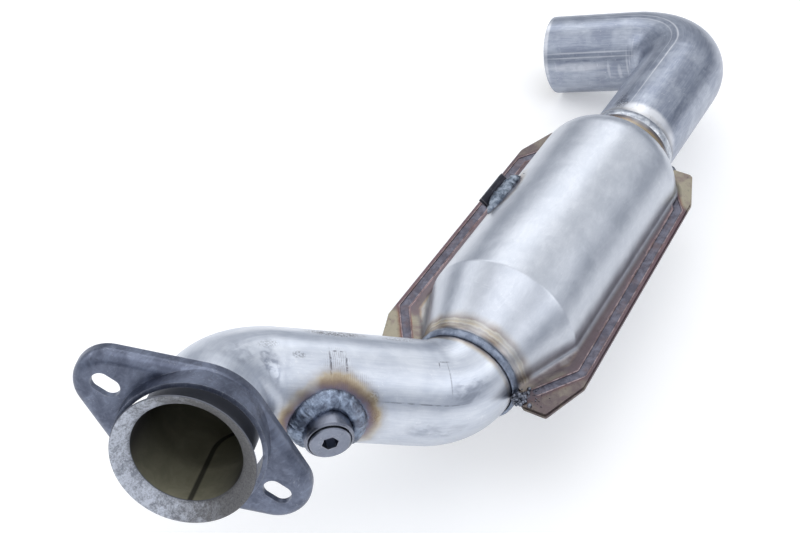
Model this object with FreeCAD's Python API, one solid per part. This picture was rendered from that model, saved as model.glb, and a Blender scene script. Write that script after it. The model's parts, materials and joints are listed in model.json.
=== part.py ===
"""Clamshell catalytic converter with its welded inlet and outlet pipes and a loose two-bolt flange.

Row frame: the origin is on the axis of the inlet pipe's mouth, where its flare begins. +X runs along the
converter body's axis from inlet to outlet, +Z is up and square to the plane where the two shells meet, and
+Y is to the left, seen along the flow. The pieces are built in the body's own frame, whose origin is the
middle of the body in its parting plane, and every shape is shifted to the row frame as it is written.
All sizes are in millimetres and all angles in degrees.
"""
import FreeCAD
import Part
import math
import os
from dataclasses import dataclass
from FreeCAD import Rotation, Vector

# ---- driving dimensions: pipes ----
PIPE_OD = 63.5                  # 2.5 inch exhaust tube
PIPE_WALL = 1.6
BEND_RADIUS = 45.0              # centre-line radius of every bend, from one tight bending die
INLET_BEND_ANGLE = 51.0         # bend next to the converter
INLET_BEND_ROLL = 64.6          # turn of that bend's plane about the body axis, from straight up
INLET_MIDDLE_RUN = 90.5         # straight between the two inlet bends
MOUTH_BEND_ANGLE = 65.5         # bend next to the flared mouth
MOUTH_BEND_ROLL = -81.9
MOUTH_RUN = 52.5                # straight from that bend to the flare's rim
OUTLET_RUN = 107.0              # straight from the outlet neck to the outlet bend
OUTLET_BEND_ANGLE = 97.0
OUTLET_BEND_ROLL = -106.2
OUTLET_TAIL = 71.5              # straight after the outlet bend, where the next pipe slips on

# ---- driving dimensions: flared mouth ----
FLARE_RISE = 7.6                # how far the rim stands out from the pipe's outside
FLARE_ANGLE = 50.0              # slope of the seat from the pipe axis
FLARE_LIP = 0.8                 # straight land at the rim
FLARE_THINNING = 0.62           # stock left at the rim, as a share of the wall's slant thickness

# ---- driving dimensions: converter body ----
SHELL_RADIUS = 50.8             # 4 inch stamped half-round shells, outside
SHELL_WALL = 1.5
BARREL_START = -71.0            # crease where the inlet cone meets the barrel
BARREL_END = 95.0               # start of the rounded outlet shoulder
CONE_START = -115.0             # where the inlet cone leaves its neck
CREASE_ROUND = 4.0              # rounding of the crease between cone and barrel
OUTLET_SHOULDER_RADIUS = 24.0   # rounding of the outlet shoulder
OUTLET_FACE_SLOPE = 62.0        # slope of the outlet end's face from the axis
NECK_ROUND = 5.0                # hollow between each end of the body and its neck
INLET_NECK_END = -118.0
OUTLET_NECK_END = 131.0
NECK_CLEARANCE = 0.15           # between a neck and the pipe inside it
NECK_ENGAGEMENT = 9.0           # length of pipe inside each neck

# ---- driving dimensions: seam flange round the body ----
SEAM_WIDTH = 16.5               # of the flange beside the barrel
SEAM_SIDE_START = -96.5         # the straight sides run from here
SEAM_SIDE_END = 98.0            # to here
SEAM_RIGHT_TAPER = 5.0          # how much closer the right side is trimmed at its outlet end
SEAM_END_X = 128.0              # half length over the cropped ends
SEAM_END_WIDTH = 5.7            # how far the cropped ends reach out past the barrel
SEAM_NOTCH_WIDTH = 8.6          # each end is cut square to this far from its neck, then runs back to it
SEAM_CORNER_ROUND = 2.0
SEAM_ROOT_SETBACK = 1.5         # from a neck's end to the seam flange beside it
SEAM_ROOT_SHARE = 0.8           # where the flange starts inside the neck, as a share of its radius
SEAM_STEP = 0.9                 # how far the lower shell's edge stands out past the upper one's
SEAM_ROOT_FILLET = 5.0          # between the body and the seam flange
TRACK_WIDTH = 6.0               # roller seam weld, pressed into both faces
TRACK_DEPTH = 0.3
TRACK_INSET = 5.2               # from the upper shell's edge to the track's middle
TRACK_END_X = 116.0
TRACK_END_DRAW_IN = 7.8         # how far inside the barrel's radius the track ends
TRACK_CORNER_X = 87.0
TRACK_ROUND = 1.8

# ---- driving dimensions: catalyst inside the body ----
MAT_THICKNESS = 4.6
SUBSTRATE_SETBACK = 1.0         # from each end of the barrel to the blocks
SUBSTRATE_GAP = 12.0
SEAL_LENGTH = 6.0               # wire mesh ring at each end of each mat
SEAT_CLEARANCE = 0.05           # between nested layers of the catalyst

# ---- driving dimensions: loose flange ----
BOLT_SPACING = 107.3
SLOT_LENGTH = 16.5
SLOT_WIDTH = 10.7
EAR_RADIUS = 19.5
EAR_CENTRE = 52.2               # from the middle of the flange to the middle of an ear
FLANGE_WAIST_RADIUS = 41.4
FLANGE_STOCK = 4.0
FLANGE_SKIRT = 11.0             # depth of the turned-back rim, with the stock
FLANGE_RIM_ROUND = 6.5
COLLAR_CLEARANCE = 6.5          # between the collar's bore and the pipe
COLLAR_WALL = 2.7
COLLAR_HEIGHT = 10.0            # how far the collar stands out from the flange's face
FLANGE_SETBACK = 7.2            # from the flare's rim back to the collar's lip
FLANGE_LEAN = 5.5               # the loose flange lies a little askew on the pipe
FLANGE_SLIP = 2.4               # sideways play that it has taken up
FLANGE_SLIP_DIRECTION = -131.0
BOLT_LINE_DIRECTION = 145.0     # both directions are angles round the mouth, from level

# ---- driving dimensions: sensor bung, bracket and welds ----
BUNG_FROM_RIM = 130.0           # along the pipe's centre line
BUNG_DIRECTION = 180.0          # round the pipe, from level
BUNG_OD = 28.4
BUNG_STAND = 12.0               # how far it stands out from the pipe
BUNG_THREAD_DIAMETER = 18.0
PIPE_HOLE_DIAMETER = 20.0       # in the pipe's wall, under the bung
BUNG_COUNTERBORE_DIAMETER = 25.4
BUNG_COUNTERBORE_DEPTH = 3.4
PLUG_HEAD_DIAMETER = 23.6
PLUG_HEAD_HEIGHT = 5.0
PLUG_SHANK_LENGTH = 11.0
PLUG_HEX = 8.6                  # across the flats of its socket
PLUG_HEX_DEPTH = 7.0
THREAD_CLEARANCE = 0.1
NECK_BEAD_LAP = 1.2             # how far each neck's bead laps back over the neck
INLET_BEAD_REACH = 4.0          # how far it reaches along the pipe
OUTLET_BEAD_REACH = 7.5
NECK_BEAD_RISE = 0.9            # its crown over the neck
BUNG_EDGE = 1.0                 # bevel round the bung's rim
PLUG_EDGE = 0.6                 # bevel round the plug's head and its tip
BUNG_BEAD_WIDTH = 7.5
BUNG_BEAD_RISE = 7.5
BUNG_BEAD_DEPTH = 0.7           # its lowest point before the pipe cuts it, as a share of the pipe's radius
BUNG_BEAD_SHOULDER = 0.55       # where its slope breaks, as a share of its width
BUNG_BEAD_DROP = 0.3            # how far it has fallen there, as a share of its rise
BUNG_BEAD_EDGE = 0.6            # thickness left at its foot
BRACKET_DIRECTION = 33.0        # round the body, up from its left side
BRACKET_CENTRE_X = 14.0
BRACKET_LENGTH = 31.0
BRACKET_THICKNESS = 2.5
BRACKET_HEIGHT = 10.2           # how far it stands out from the shell
BRACKET_BEAD_CENTRE_X = 12.5
BRACKET_BEAD_LENGTH = 42.0
BRACKET_BEAD_RADIUS = 9.5
BRACKET_BEAD_SINK = 3.7         # of the bead's middle, under the shell's outside
BRACKET_BEAD_ROUND = 0.6        # rounding of its ends, as a share of its radius
SEAM_END_BEAD_RADIUS = 3.0
SEAM_END_BEAD_START = 0.3       # along the slanting edge from the neck, as a share of it
SEAM_END_BEAD_SHARE = 0.63      # length of the bead, as a share of that edge
SEAM_END_BEAD_ROUND = 0.6       # rounding of its ends, as a share of its radius

PIPE_RADIUS = PIPE_OD / 2
NECK_BORE_RADIUS = PIPE_RADIUS + NECK_CLEARANCE
NECK_RADIUS = NECK_BORE_RADIUS + SHELL_WALL
FLARE_RADIUS = PIPE_RADIUS + FLARE_RISE
COLLAR_BORE_RADIUS = PIPE_RADIUS + COLLAR_CLEARANCE
COLLAR_RADIUS = COLLAR_BORE_RADIUS + COLLAR_WALL
SUBSTRATE_RADIUS = SHELL_RADIUS - SHELL_WALL - MAT_THICKNESS
SEAM_HALF_WIDTH = SHELL_RADIUS + SEAM_WIDTH
SEAM_END_HALF_WIDTH = SHELL_RADIUS + SEAM_END_WIDTH
SEAM_NOTCH_HALF_WIDTH = NECK_RADIUS + SEAM_NOTCH_WIDTH
TRACK_END_HALF_WIDTH = SHELL_RADIUS - TRACK_END_DRAW_IN
SUBSTRATE_LENGTH = (BARREL_END - BARREL_START - SUBSTRATE_GAP) / 2 - SUBSTRATE_SETBACK

ALONG = Vector(1, 0, 0)
ACROSS = Vector(0, 1, 0)
UP = Vector(0, 0, 1)
MIDDLE = Vector(0, 0, 0)


# ---- pipe routes ----

@dataclass(frozen=True)
class Station:
    """A point on a pipe's centre line, with the way the line runs there."""
    point: Vector
    heading: Vector


@dataclass(frozen=True)
class Straight:
    """A straight stretch of pipe."""
    start: Station
    length: float

    def end(self):
        return Station(self.start.point + self.start.heading * self.length, self.start.heading)

    def swept(self, face):
        return face.extrude(self.start.heading * self.length)

    def at(self, distance):
        return Station(self.start.point + self.start.heading * distance, self.start.heading)


@dataclass(frozen=True)
class Bend:
    """A bend of the pipe, turning from its heading towards inward."""
    start: Station
    angle: float
    inward: Vector

    @property
    def centre(self):
        return self.start.point + self.inward * BEND_RADIUS

    @property
    def axis(self):
        return self.start.heading.cross(self.inward)

    def end(self):
        turn = Rotation(self.axis, self.angle)
        point = self.centre - turn.multVec(self.inward) * BEND_RADIUS
        return Station(point, turn.multVec(self.start.heading))

    def swept(self, face):
        return face.revolve(self.centre, self.axis, self.angle)


def square_to(direction, reference):
    """The unit vector nearest to reference that is square to direction."""
    flat = reference - direction * reference.dot(direction)
    return flat.normalize()


def bend_inward(heading, reference, roll):
    """Where a bend turns towards, with its plane rolled about the heading from reference."""
    level = square_to(heading, reference)
    angle = math.radians(roll)
    return level * math.cos(angle) + heading.cross(level) * math.sin(angle)


def inlet_route():
    """The inlet pipe from inside its neck, upstream to the flare's rim."""
    start = Station(Vector(INLET_NECK_END + NECK_ENGAGEMENT, 0, 0), -ALONG)
    in_neck = Straight(start, NECK_ENGAGEMENT)
    first_bend = Bend(in_neck.end(), INLET_BEND_ANGLE, bend_inward(-ALONG, UP, INLET_BEND_ROLL))
    middle = Straight(first_bend.end(), INLET_MIDDLE_RUN)
    heading = middle.start.heading
    second_bend = Bend(middle.end(), MOUTH_BEND_ANGLE, bend_inward(heading, UP, MOUTH_BEND_ROLL))
    mouth = Straight(second_bend.end(), MOUTH_RUN)
    return [in_neck, first_bend, middle, second_bend, mouth]


def outlet_route():
    """The outlet pipe from inside its neck to its open end."""
    start = Station(Vector(OUTLET_NECK_END - NECK_ENGAGEMENT, 0, 0), ALONG)
    first = Straight(start, NECK_ENGAGEMENT + OUTLET_RUN)
    bend = Bend(first.end(), OUTLET_BEND_ANGLE, bend_inward(ALONG, UP, OUTLET_BEND_ROLL))
    tail = Straight(bend.end(), OUTLET_TAIL)
    return [first, bend, tail]


INLET_ROUTE = inlet_route()
OUTLET_ROUTE = outlet_route()
MOUTH = INLET_ROUTE[-1].end()


def disc(station, radius, bore=0.0):
    """A flat disc square to the centre line, with a bore if one is given."""
    rim = Part.Wire(Part.makeCircle(radius, station.point, station.heading))
    face = Part.Face(rim)
    if bore:
        hole = Part.Face(Part.Wire(Part.makeCircle(bore, station.point, station.heading)))
        face = face.cut(hole).Faces[0]
    return face


def swept_route(route, radius, bore=0.0):
    """One solid along a route, round outside and round inside."""
    pieces = [piece.swept(disc(piece.start, radius, bore)) for piece in route]
    return pieces[0].fuse(pieces[1:]).removeSplitter()


def closed_profile(points):
    """A face in the XZ plane through (along, out) points."""
    corners = [Vector(along, 0, out) for along, out in points]
    return Part.Face(Part.makePolygon(corners + corners[:1]))


def turned(points):
    """A solid turned about the X axis from (along, radius) points."""
    return closed_profile(points).revolve(MIDDLE, ALONG, 360)


def placed(shape, point, x_way, z_way):
    """The shape moved from the origin to point, with its X and Z turned to the ways given."""
    y_way = z_way.cross(x_way)
    turn = Rotation(x_way, y_way, z_way, "XZY")
    copy = shape.copy()
    copy.Placement = FreeCAD.Placement(point, turn).multiply(shape.Placement)
    return copy


# ---- pipes ----

def flare_profile():
    """The flared end as (along, radius) points: 0 is the rim, and along grows into the pipe."""
    slope = math.radians(FLARE_ANGLE)
    rise = FLARE_RADIUS - PIPE_RADIUS
    back = FLARE_LIP + rise / math.tan(slope)
    bore = PIPE_RADIUS - PIPE_WALL
    inner_rim = FLARE_RADIUS - PIPE_WALL / math.cos(slope) * FLARE_THINNING
    seat_back = (inner_rim - bore) / math.tan(slope)
    tail = back + PIPE_WALL * 2
    return [(0, FLARE_RADIUS), (FLARE_LIP, FLARE_RADIUS), (back, PIPE_RADIUS), (tail, PIPE_RADIUS),
            (tail, bore), (seat_back, bore), (0, inner_rim)]


def flare_length():
    return flare_profile()[3][0]


def row_shift():
    """From the body's frame to the row's, whose origin is where the flare begins."""
    flare_start = flare_profile()[2][0]
    return MOUTH.heading * flare_start - MOUTH.point


def make_inlet_pipe():
    route = list(INLET_ROUTE)
    mouth = route[-1]
    route[-1] = Straight(mouth.start, MOUTH_RUN - flare_length())
    tube = swept_route(route, PIPE_RADIUS, PIPE_RADIUS - PIPE_WALL)
    flare = placed_along(turned(flare_profile()), MOUTH.point, -MOUTH.heading)
    sensor_hole = Part.makeCylinder(PIPE_HOLE_DIAMETER / 2, PIPE_OD, bung_station().point, bung_way())
    return tube.fuse(flare).removeSplitter().cut(sensor_hole)


def placed_along(shape, point, way):
    """The shape moved so that its X axis lies along way from point."""
    return placed(shape, point, way, square_to(way, UP))


def make_outlet_pipe():
    return swept_route(OUTLET_ROUTE, PIPE_RADIUS, PIPE_RADIUS - PIPE_WALL)


# ---- converter shells ----

def body_corners(inset):
    """(along, radius, rounding) of the body's outline from neck to neck, drawn in by inset."""
    neck = NECK_RADIUS - inset
    barrel = SHELL_RADIUS - inset
    rise = SHELL_RADIUS - NECK_RADIUS
    inlet_slope = math.atan2(rise, BARREL_START - CONE_START)
    outlet_slope = math.radians(OUTLET_FACE_SLOPE)
    inlet_shift = inset * math.tan(inlet_slope / 2)
    outlet_shift = inset * math.tan(outlet_slope / 2)
    shoulder = BARREL_END + OUTLET_SHOULDER_RADIUS * math.tan(outlet_slope / 2)
    face_foot = shoulder + rise / math.tan(outlet_slope)
    return [(INLET_NECK_END, neck, 0), (CONE_START + inlet_shift, neck, NECK_ROUND + inset),
            (BARREL_START + inlet_shift, barrel, CREASE_ROUND - inset),
            (shoulder - outlet_shift, barrel, OUTLET_SHOULDER_RADIUS - inset),
            (face_foot - outlet_shift, neck, NECK_ROUND + inset), (OUTLET_NECK_END, neck, 0)]


def corner_arc(before, corner, after, radius):
    """Where a rounding arrives at, passes through and leaves a corner."""
    arrive = (before - corner).normalize()
    leave = (after - corner).normalize()
    half_angle = arrive.getAngle(leave) / 2
    reach = radius / math.tan(half_angle)
    middle = corner + (arrive + leave).normalize() * (radius / math.sin(half_angle) - radius)
    return corner + arrive * reach, middle, corner + leave * reach


def body_half(inset):
    """The upper half of the body, solid, with its surface drawn in by inset."""
    corners = body_corners(inset)
    points = [Vector(along, radius, 0) for along, radius, _ in corners]
    edges = []
    last = points[0]
    for index in range(1, len(points) - 1):
        arc = corner_arc(points[index - 1], points[index], points[index + 1], corners[index][2])
        edges += [Part.makeLine(last, arc[0]), Part.Arc(*arc).toShape()]
        last = arc[2]
    start = Vector(points[0].x, 0, 0)
    end = Vector(points[-1].x, 0, 0)
    edges += [Part.makeLine(last, points[-1]), Part.makeLine(points[-1], end), Part.makeLine(end, start),
              Part.makeLine(start, points[0])]
    return Part.Face(Part.Wire(edges)).revolve(MIDDLE, ALONG, 180)


def rounded_outline(points, radius):
    """A closed wire through (x, y) points with every corner rounded to radius."""
    corners = [Vector(x, y, 0) for x, y in points]
    count = len(corners)
    arcs = [corner_arc(corners[index - 1], corners[index], corners[(index + 1) % count], radius)
            for index in range(count)]
    edges = []
    for index, arc in enumerate(arcs):
        edges += [Part.Arc(*arc).toShape(), Part.makeLine(arc[2], arcs[(index + 1) % count][0])]
    return Part.Wire(edges)


def seam_outline(grow):
    """Plan of the seam flange, grown outwards by a step."""
    side = SEAM_HALF_WIDTH + grow
    end_side = SEAM_END_HALF_WIDTH + grow
    end = SEAM_END_X + grow
    inlet_root = INLET_NECK_END + SEAM_ROOT_SETBACK
    outlet_root = OUTLET_NECK_END - SEAM_ROOT_SETBACK
    root_side = NECK_RADIUS * SEAM_ROOT_SHARE
    notch_side = SEAM_NOTCH_HALF_WIDTH + grow
    inlet_end = [(inlet_root, root_side), (-end, notch_side), (-end, end_side), (SEAM_SIDE_START, side)]
    outlet_end = [(SEAM_SIDE_END, side), (end, end_side), (end, notch_side), (outlet_root, root_side)]
    trimmed = [(SEAM_SIDE_END, side - SEAM_RIGHT_TAPER), (end, end_side - SEAM_RIGHT_TAPER)] + outlet_end[2:]
    right = [(x, -y) for x, y in reversed(inlet_end + trimmed)]
    return rounded_outline(inlet_end + outlet_end + right, SEAM_CORNER_ROUND)


def track_stroke(taper):
    """The pressed-in seam weld along the left side, drawn in by taper at its outlet end."""
    middle_y = SEAM_HALF_WIDTH - TRACK_INSET
    half = TRACK_WIDTH / 2
    edges = []
    for offset in (half, -half):
        edges.append([(-TRACK_END_X, TRACK_END_HALF_WIDTH + offset), (-TRACK_CORNER_X, middle_y + offset),
                      (TRACK_CORNER_X, middle_y - taper + offset),
                      (TRACK_END_X, TRACK_END_HALF_WIDTH - taper + offset)])
    return Part.Face(rounded_outline(edges[0] + edges[1][::-1], TRACK_ROUND))


def make_half_shell(grow):
    """The upper shell; the lower one is its mirror image with a wider seam flange."""
    outside = body_half(0.0)
    plate = Part.Face(seam_outline(grow)).extrude(UP * SHELL_WALL)
    joined = outside.fuse(plate).removeSplitter()
    joined = joined.makeFillet(SEAM_ROOT_FILLET, seam_root_edges(joined))
    inside = body_half(SHELL_WALL)
    bore_length = OUTLET_NECK_END - INLET_NECK_END
    start = Vector(INLET_NECK_END, 0, 0)
    passage = Part.makeCylinder(NECK_BORE_RADIUS, bore_length, start, ALONG)
    entry = swept_route(INLET_ROUTE[:2], NECK_BORE_RADIUS)
    shell = joined.cut(inside.fuse(passage)).cut(entry)
    for stroke in (track_stroke(0.0), track_stroke(SEAM_RIGHT_TAPER).mirror(MIDDLE, ACROSS)):
        stroke.translate(UP * (SHELL_WALL - TRACK_DEPTH))
        shell = shell.cut(stroke.extrude(UP * SHELL_WALL))
    return shell


def seam_root_edges(shape):
    """The edges where the body rises from the seam flange."""
    found = []
    for edge in shape.Edges:
        box = edge.BoundBox
        on_top = abs(box.ZMin - SHELL_WALL) < 1e-4 and abs(box.ZMax - SHELL_WALL) < 1e-4
        inside = max(abs(box.YMin), abs(box.YMax)) < SHELL_RADIUS + 0.5
        clear_of_ends = box.XMin > CONE_START and box.XMax < SEAM_END_X - SHELL_WALL
        if on_top and inside and clear_of_ends:
            found.append(edge)
    return found


def make_upper_shell():
    return make_half_shell(0.0)


def make_lower_shell():
    return make_half_shell(SEAM_STEP).mirror(MIDDLE, UP)


# ---- catalyst ----

def ring(start, length, radius, bore):
    """A plain ring, or a disc when bore is 0, about the body axis."""
    solid = Part.makeCylinder(radius, length, Vector(start, 0, 0), ALONG)
    if bore:
        solid = solid.cut(Part.makeCylinder(bore, length, Vector(start, 0, 0), ALONG))
    return solid


def catalyst_starts():
    """Where the front and the rear substrate start, centred in the barrel."""
    total = 2 * SUBSTRATE_LENGTH + SUBSTRATE_GAP
    first = (BARREL_START + BARREL_END - total) / 2
    return {"front": first, "rear": first + SUBSTRATE_LENGTH + SUBSTRATE_GAP}


def make_catalyst():
    """Substrates, their mats and the mesh seals at the mats' ends, by node name."""
    pieces = {}
    bore = SUBSTRATE_RADIUS + SEAT_CLEARANCE
    outer = SHELL_RADIUS - SHELL_WALL - SEAT_CLEARANCE
    mat_length = SUBSTRATE_LENGTH - 2 * (SEAL_LENGTH + SEAT_CLEARANCE)
    for name, start in catalyst_starts().items():
        pieces[name + "_substrate"] = ring(start, SUBSTRATE_LENGTH, SUBSTRATE_RADIUS, 0)
        mat_start = start + SEAL_LENGTH + SEAT_CLEARANCE
        pieces[name + "_mat"] = ring(mat_start, mat_length, outer, bore)
        pieces[name + "_inlet_seal"] = ring(start, SEAL_LENGTH, outer, bore)
        end = start + SUBSTRATE_LENGTH - SEAL_LENGTH
        pieces[name + "_outlet_seal"] = ring(end, SEAL_LENGTH, outer, bore)
    return pieces


# ---- loose flange ----

def mouth_ways():
    """Level and downward unit vectors square to the mouth's axis."""
    level = MOUTH.heading.cross(UP).normalize()
    return level, MOUTH.heading.cross(level)


def round_mouth(degrees):
    """A unit vector at an angle round the mouth, from level."""
    level, down = mouth_ways()
    angle = math.radians(degrees)
    return level * math.cos(angle) + down * math.sin(angle)


def flange_pose():
    """Centre of the collar's lip, the way the flange faces and its bolt line."""
    level, _ = mouth_ways()
    facing = (MOUTH.heading - level * math.tan(math.radians(FLANGE_LEAN))).normalize()
    centre = MOUTH.point - MOUTH.heading * FLANGE_SETBACK + round_mouth(FLANGE_SLIP_DIRECTION) * FLANGE_SLIP
    return centre, facing, square_to(facing, round_mouth(BOLT_LINE_DIRECTION))


def flange_outline(inset):
    """Two ears joined to a round waist by tangent sides, drawn in by inset."""
    ear = EAR_RADIUS - inset
    waist = FLANGE_WAIST_RADIUS - inset
    lean = math.asin((waist - ear) / EAR_CENTRE)
    out = Vector(math.sin(lean), math.cos(lean), 0)
    waist_touch = out * waist
    ear_touch = Vector(EAR_CENTRE, 0, 0) + out * ear

    def flipped(point, x_sign, y_sign):
        return Vector(point.x * x_sign, point.y * y_sign, 0)

    edges = []
    for y_sign in (1, -1):
        edges.append(Part.Arc(flipped(waist_touch, -1, y_sign), Vector(0, waist * y_sign, 0),
                              flipped(waist_touch, 1, y_sign)).toShape())
        for x_sign in (1, -1):
            waist_end = flipped(waist_touch, x_sign, y_sign)
            edges.append(Part.makeLine(waist_end, flipped(ear_touch, x_sign, y_sign)))
    for x_sign in (1, -1):
        tip = Vector(x_sign * (EAR_CENTRE + ear), 0, 0)
        edges.append(Part.Arc(flipped(ear_touch, x_sign, 1), tip, flipped(ear_touch, x_sign, -1)).toShape())
    return Part.Wire(Part.__sortEdges__(edges))


def bolt_slot(centre_x):
    """A cutter for one round-ended slot through the flange's face."""
    half_run = (SLOT_LENGTH - SLOT_WIDTH) / 2
    radius = SLOT_WIDTH / 2
    depth = FLANGE_STOCK * 3
    low = -FLANGE_STOCK * 2
    ends = [Part.makeCylinder(radius, depth, Vector(centre_x + x, 0, low)) for x in (-half_run, half_run)]
    middle = Part.makeBox(2 * half_run, SLOT_WIDTH, depth, Vector(centre_x - half_run, -radius, low))
    return ends[0].fuse([middle, ends[1]])


def make_inlet_flange():
    """The flange in its own frame, its face at height 0 and facing up, then set on the pipe."""
    back = -FLANGE_SKIRT
    body = Part.Face(flange_outline(0.0)).extrude(UP * FLANGE_SKIRT)
    body.translate(UP * back)
    top = [edge for edge in body.Edges if edge.BoundBox.ZMin > -1e-6]
    body = body.makeFillet(FLANGE_RIM_ROUND, top)
    hollow = Part.Face(flange_outline(FLANGE_STOCK)).extrude(UP * (FLANGE_SKIRT - FLANGE_STOCK))
    hollow.translate(UP * back)
    hollow_top = [edge for edge in hollow.Edges if edge.BoundBox.ZMin > -FLANGE_STOCK - 1e-6]
    hollow = hollow.makeFillet(FLANGE_RIM_ROUND - FLANGE_STOCK, hollow_top)
    collar = Part.makeCylinder(COLLAR_RADIUS, FLANGE_SKIRT + COLLAR_HEIGHT, UP * back)
    bore = Part.makeCylinder(COLLAR_BORE_RADIUS, FLANGE_SKIRT + COLLAR_HEIGHT, UP * back)
    flange = body.cut(hollow).fuse(collar).cut(bore)
    for side in (-1, 1):
        flange = flange.cut(bolt_slot(side * BOLT_SPACING / 2))
    centre, facing, bolt_line = flange_pose()
    flange = flange.removeSplitter()
    flange.translate(-UP * COLLAR_HEIGHT)
    return placed(flange, centre, bolt_line, facing)


# ---- sensor bung ----

def bung_station():
    """Where the bung stands on the straight between the two inlet bends."""
    bend_length = BEND_RADIUS * math.radians(MOUTH_BEND_ANGLE)
    middle = INLET_ROUTE[2]
    return middle.at(MOUTH_RUN + bend_length + INLET_MIDDLE_RUN - BUNG_FROM_RIM)


def bung_way():
    """The way the bung points, square to the pipe."""
    heading = bung_station().heading
    level = heading.cross(UP).normalize()
    down = heading.cross(level)
    angle = math.radians(BUNG_DIRECTION)
    return level * math.cos(angle) + down * math.sin(angle)


def on_bung(shape):
    """A shape turned about X, set with its X along the bung and 0 on the pipe's centre line."""
    return placed(shape, bung_station().point, bung_way(), bung_station().heading)


def bung_face():
    """Height of the bung's face over the pipe's centre line."""
    return PIPE_RADIUS + BUNG_STAND


def solid_pipe():
    return swept_route(INLET_ROUTE, PIPE_RADIUS)


def make_sensor_bung():
    floor = bung_face() - BUNG_COUNTERBORE_DEPTH
    bore = BUNG_THREAD_DIAMETER / 2
    outer = BUNG_OD / 2
    bung = turned([(0, bore), (0, outer), (bung_face() - BUNG_EDGE, outer), (bung_face(), outer - BUNG_EDGE),
                   (bung_face(), BUNG_COUNTERBORE_DIAMETER / 2), (floor, BUNG_COUNTERBORE_DIAMETER / 2),
                   (floor, bore)])
    return on_bung(bung).cut(solid_pipe())


def plug_seat():
    return bung_face() - BUNG_COUNTERBORE_DEPTH


def make_bung_plug():
    seat = plug_seat()
    head = PLUG_HEAD_DIAMETER / 2
    shank = BUNG_THREAD_DIAMETER / 2 - THREAD_CLEARANCE
    tip = seat - PLUG_SHANK_LENGTH
    top = seat + PLUG_HEAD_HEIGHT
    plug = turned([(tip, 0), (tip, shank - PLUG_EDGE), (tip + PLUG_EDGE, shank), (seat, shank), (seat, head),
                   (top - PLUG_EDGE, head), (top, head - PLUG_EDGE), (top, 0)])
    corner = PLUG_HEX / math.sqrt(3)
    angles = [math.radians(60 * step) for step in range(6)]
    points = [Vector(top - PLUG_HEX_DEPTH, corner * math.cos(a), corner * math.sin(a)) for a in angles]
    socket = Part.Face(Part.makePolygon(points + points[:1])).extrude(ALONG * PLUG_HEX_DEPTH)
    return on_bung(plug.cut(socket))


def make_bung_weld():
    """A fillet of weld round the bung's foot, seated on the pipe."""
    bung = BUNG_OD / 2
    foot = bung + BUNG_BEAD_WIDTH
    low = PIPE_RADIUS * BUNG_BEAD_DEPTH
    height = PIPE_RADIUS + BUNG_BEAD_RISE
    shoulder = bung + BUNG_BEAD_WIDTH * BUNG_BEAD_SHOULDER
    profile = [(low, bung), (height, bung), (height - BUNG_BEAD_RISE * BUNG_BEAD_DROP, shoulder),
               (PIPE_RADIUS - pipe_drop(foot) + BUNG_BEAD_EDGE, foot), (low, foot)]
    return on_bung(turned(profile)).cut(solid_pipe())


def pipe_drop(offset):
    """How far the pipe's surface falls away at a sideways offset from its crown."""
    return PIPE_RADIUS - math.sqrt(PIPE_RADIUS ** 2 - offset ** 2)


# ---- bracket and welds on the body ----

def neck_bead(end, reach):
    """A ring of weld over a neck's end, reaching along the pipe; a negative reach is upstream."""
    lap = math.copysign(NECK_BEAD_LAP, reach)
    crown = NECK_RADIUS + NECK_BEAD_RISE
    points = [Vector(end - lap, 0, NECK_RADIUS), Vector(end + reach / 2, 0, crown),
              Vector(end + reach, 0, NECK_BORE_RADIUS)]
    inner = [points[2], Vector(end, 0, NECK_BORE_RADIUS), Vector(end, 0, NECK_RADIUS), points[0]]
    outline = Part.Wire([Part.Arc(*points).toShape()] + Part.makePolygon(inner).Edges)
    return Part.Face(outline).revolve(MIDDLE, ALONG, 360)


def largest_left(shape, cutters):
    """What is left of a shape outside the cutters, without any sliver."""
    for cutter in cutters:
        shape = shape.cut(cutter)
    return max(shape.Solids, key=lambda solid: solid.Volume)


def make_inlet_neck_weld():
    over = [solid_pipe(), make_upper_shell(), make_lower_shell()]
    return largest_left(neck_bead(INLET_NECK_END, -INLET_BEAD_REACH), over)


def make_outlet_neck_weld():
    over = [swept_route(OUTLET_ROUTE, PIPE_RADIUS), make_upper_shell(), make_lower_shell()]
    return largest_left(neck_bead(OUTLET_NECK_END, OUTLET_BEAD_REACH), over)


def on_side(shape):
    """A shape set on the body's side, with its Y out from the axis and its Z round towards the top."""
    angle = math.radians(BRACKET_DIRECTION)
    return placed(shape, MIDDLE, ALONG, Vector(0, -math.sin(angle), math.cos(angle)))


def make_side_bracket():
    """A short plate that stands out from the shell, its upper face through the body's axis."""
    low = Vector(BRACKET_CENTRE_X - BRACKET_LENGTH / 2, SHELL_RADIUS - SHELL_WALL / 2, -BRACKET_THICKNESS)
    plate = Part.makeBox(BRACKET_LENGTH, BRACKET_HEIGHT + SHELL_WALL / 2, BRACKET_THICKNESS, low)
    return on_side(plate).cut(make_upper_shell())


def make_bracket_weld():
    """A long bead over the bracket's root, wrapped round its ends."""
    start = BRACKET_BEAD_CENTRE_X - BRACKET_BEAD_LENGTH / 2
    middle = Vector(start, SHELL_RADIUS - BRACKET_BEAD_SINK, 0)
    bead = Part.makeCylinder(BRACKET_BEAD_RADIUS, BRACKET_BEAD_LENGTH, middle, ALONG)
    ends = [rim for rim in bead.Edges if rim.Curve.TypeId == "Part::GeomCircle"]
    bead = bead.makeFillet(BRACKET_BEAD_RADIUS * BRACKET_BEAD_ROUND, ends)
    keep = Part.makeBox(BRACKET_BEAD_LENGTH, SHELL_RADIUS, SHELL_RADIUS,
                        Vector(start, SHELL_RADIUS / 2, -BRACKET_THICKNESS))
    over = [make_upper_shell(), body_half(SHELL_WALL), make_side_bracket()]
    return largest_left(on_side(bead.common(keep)), over)


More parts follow.
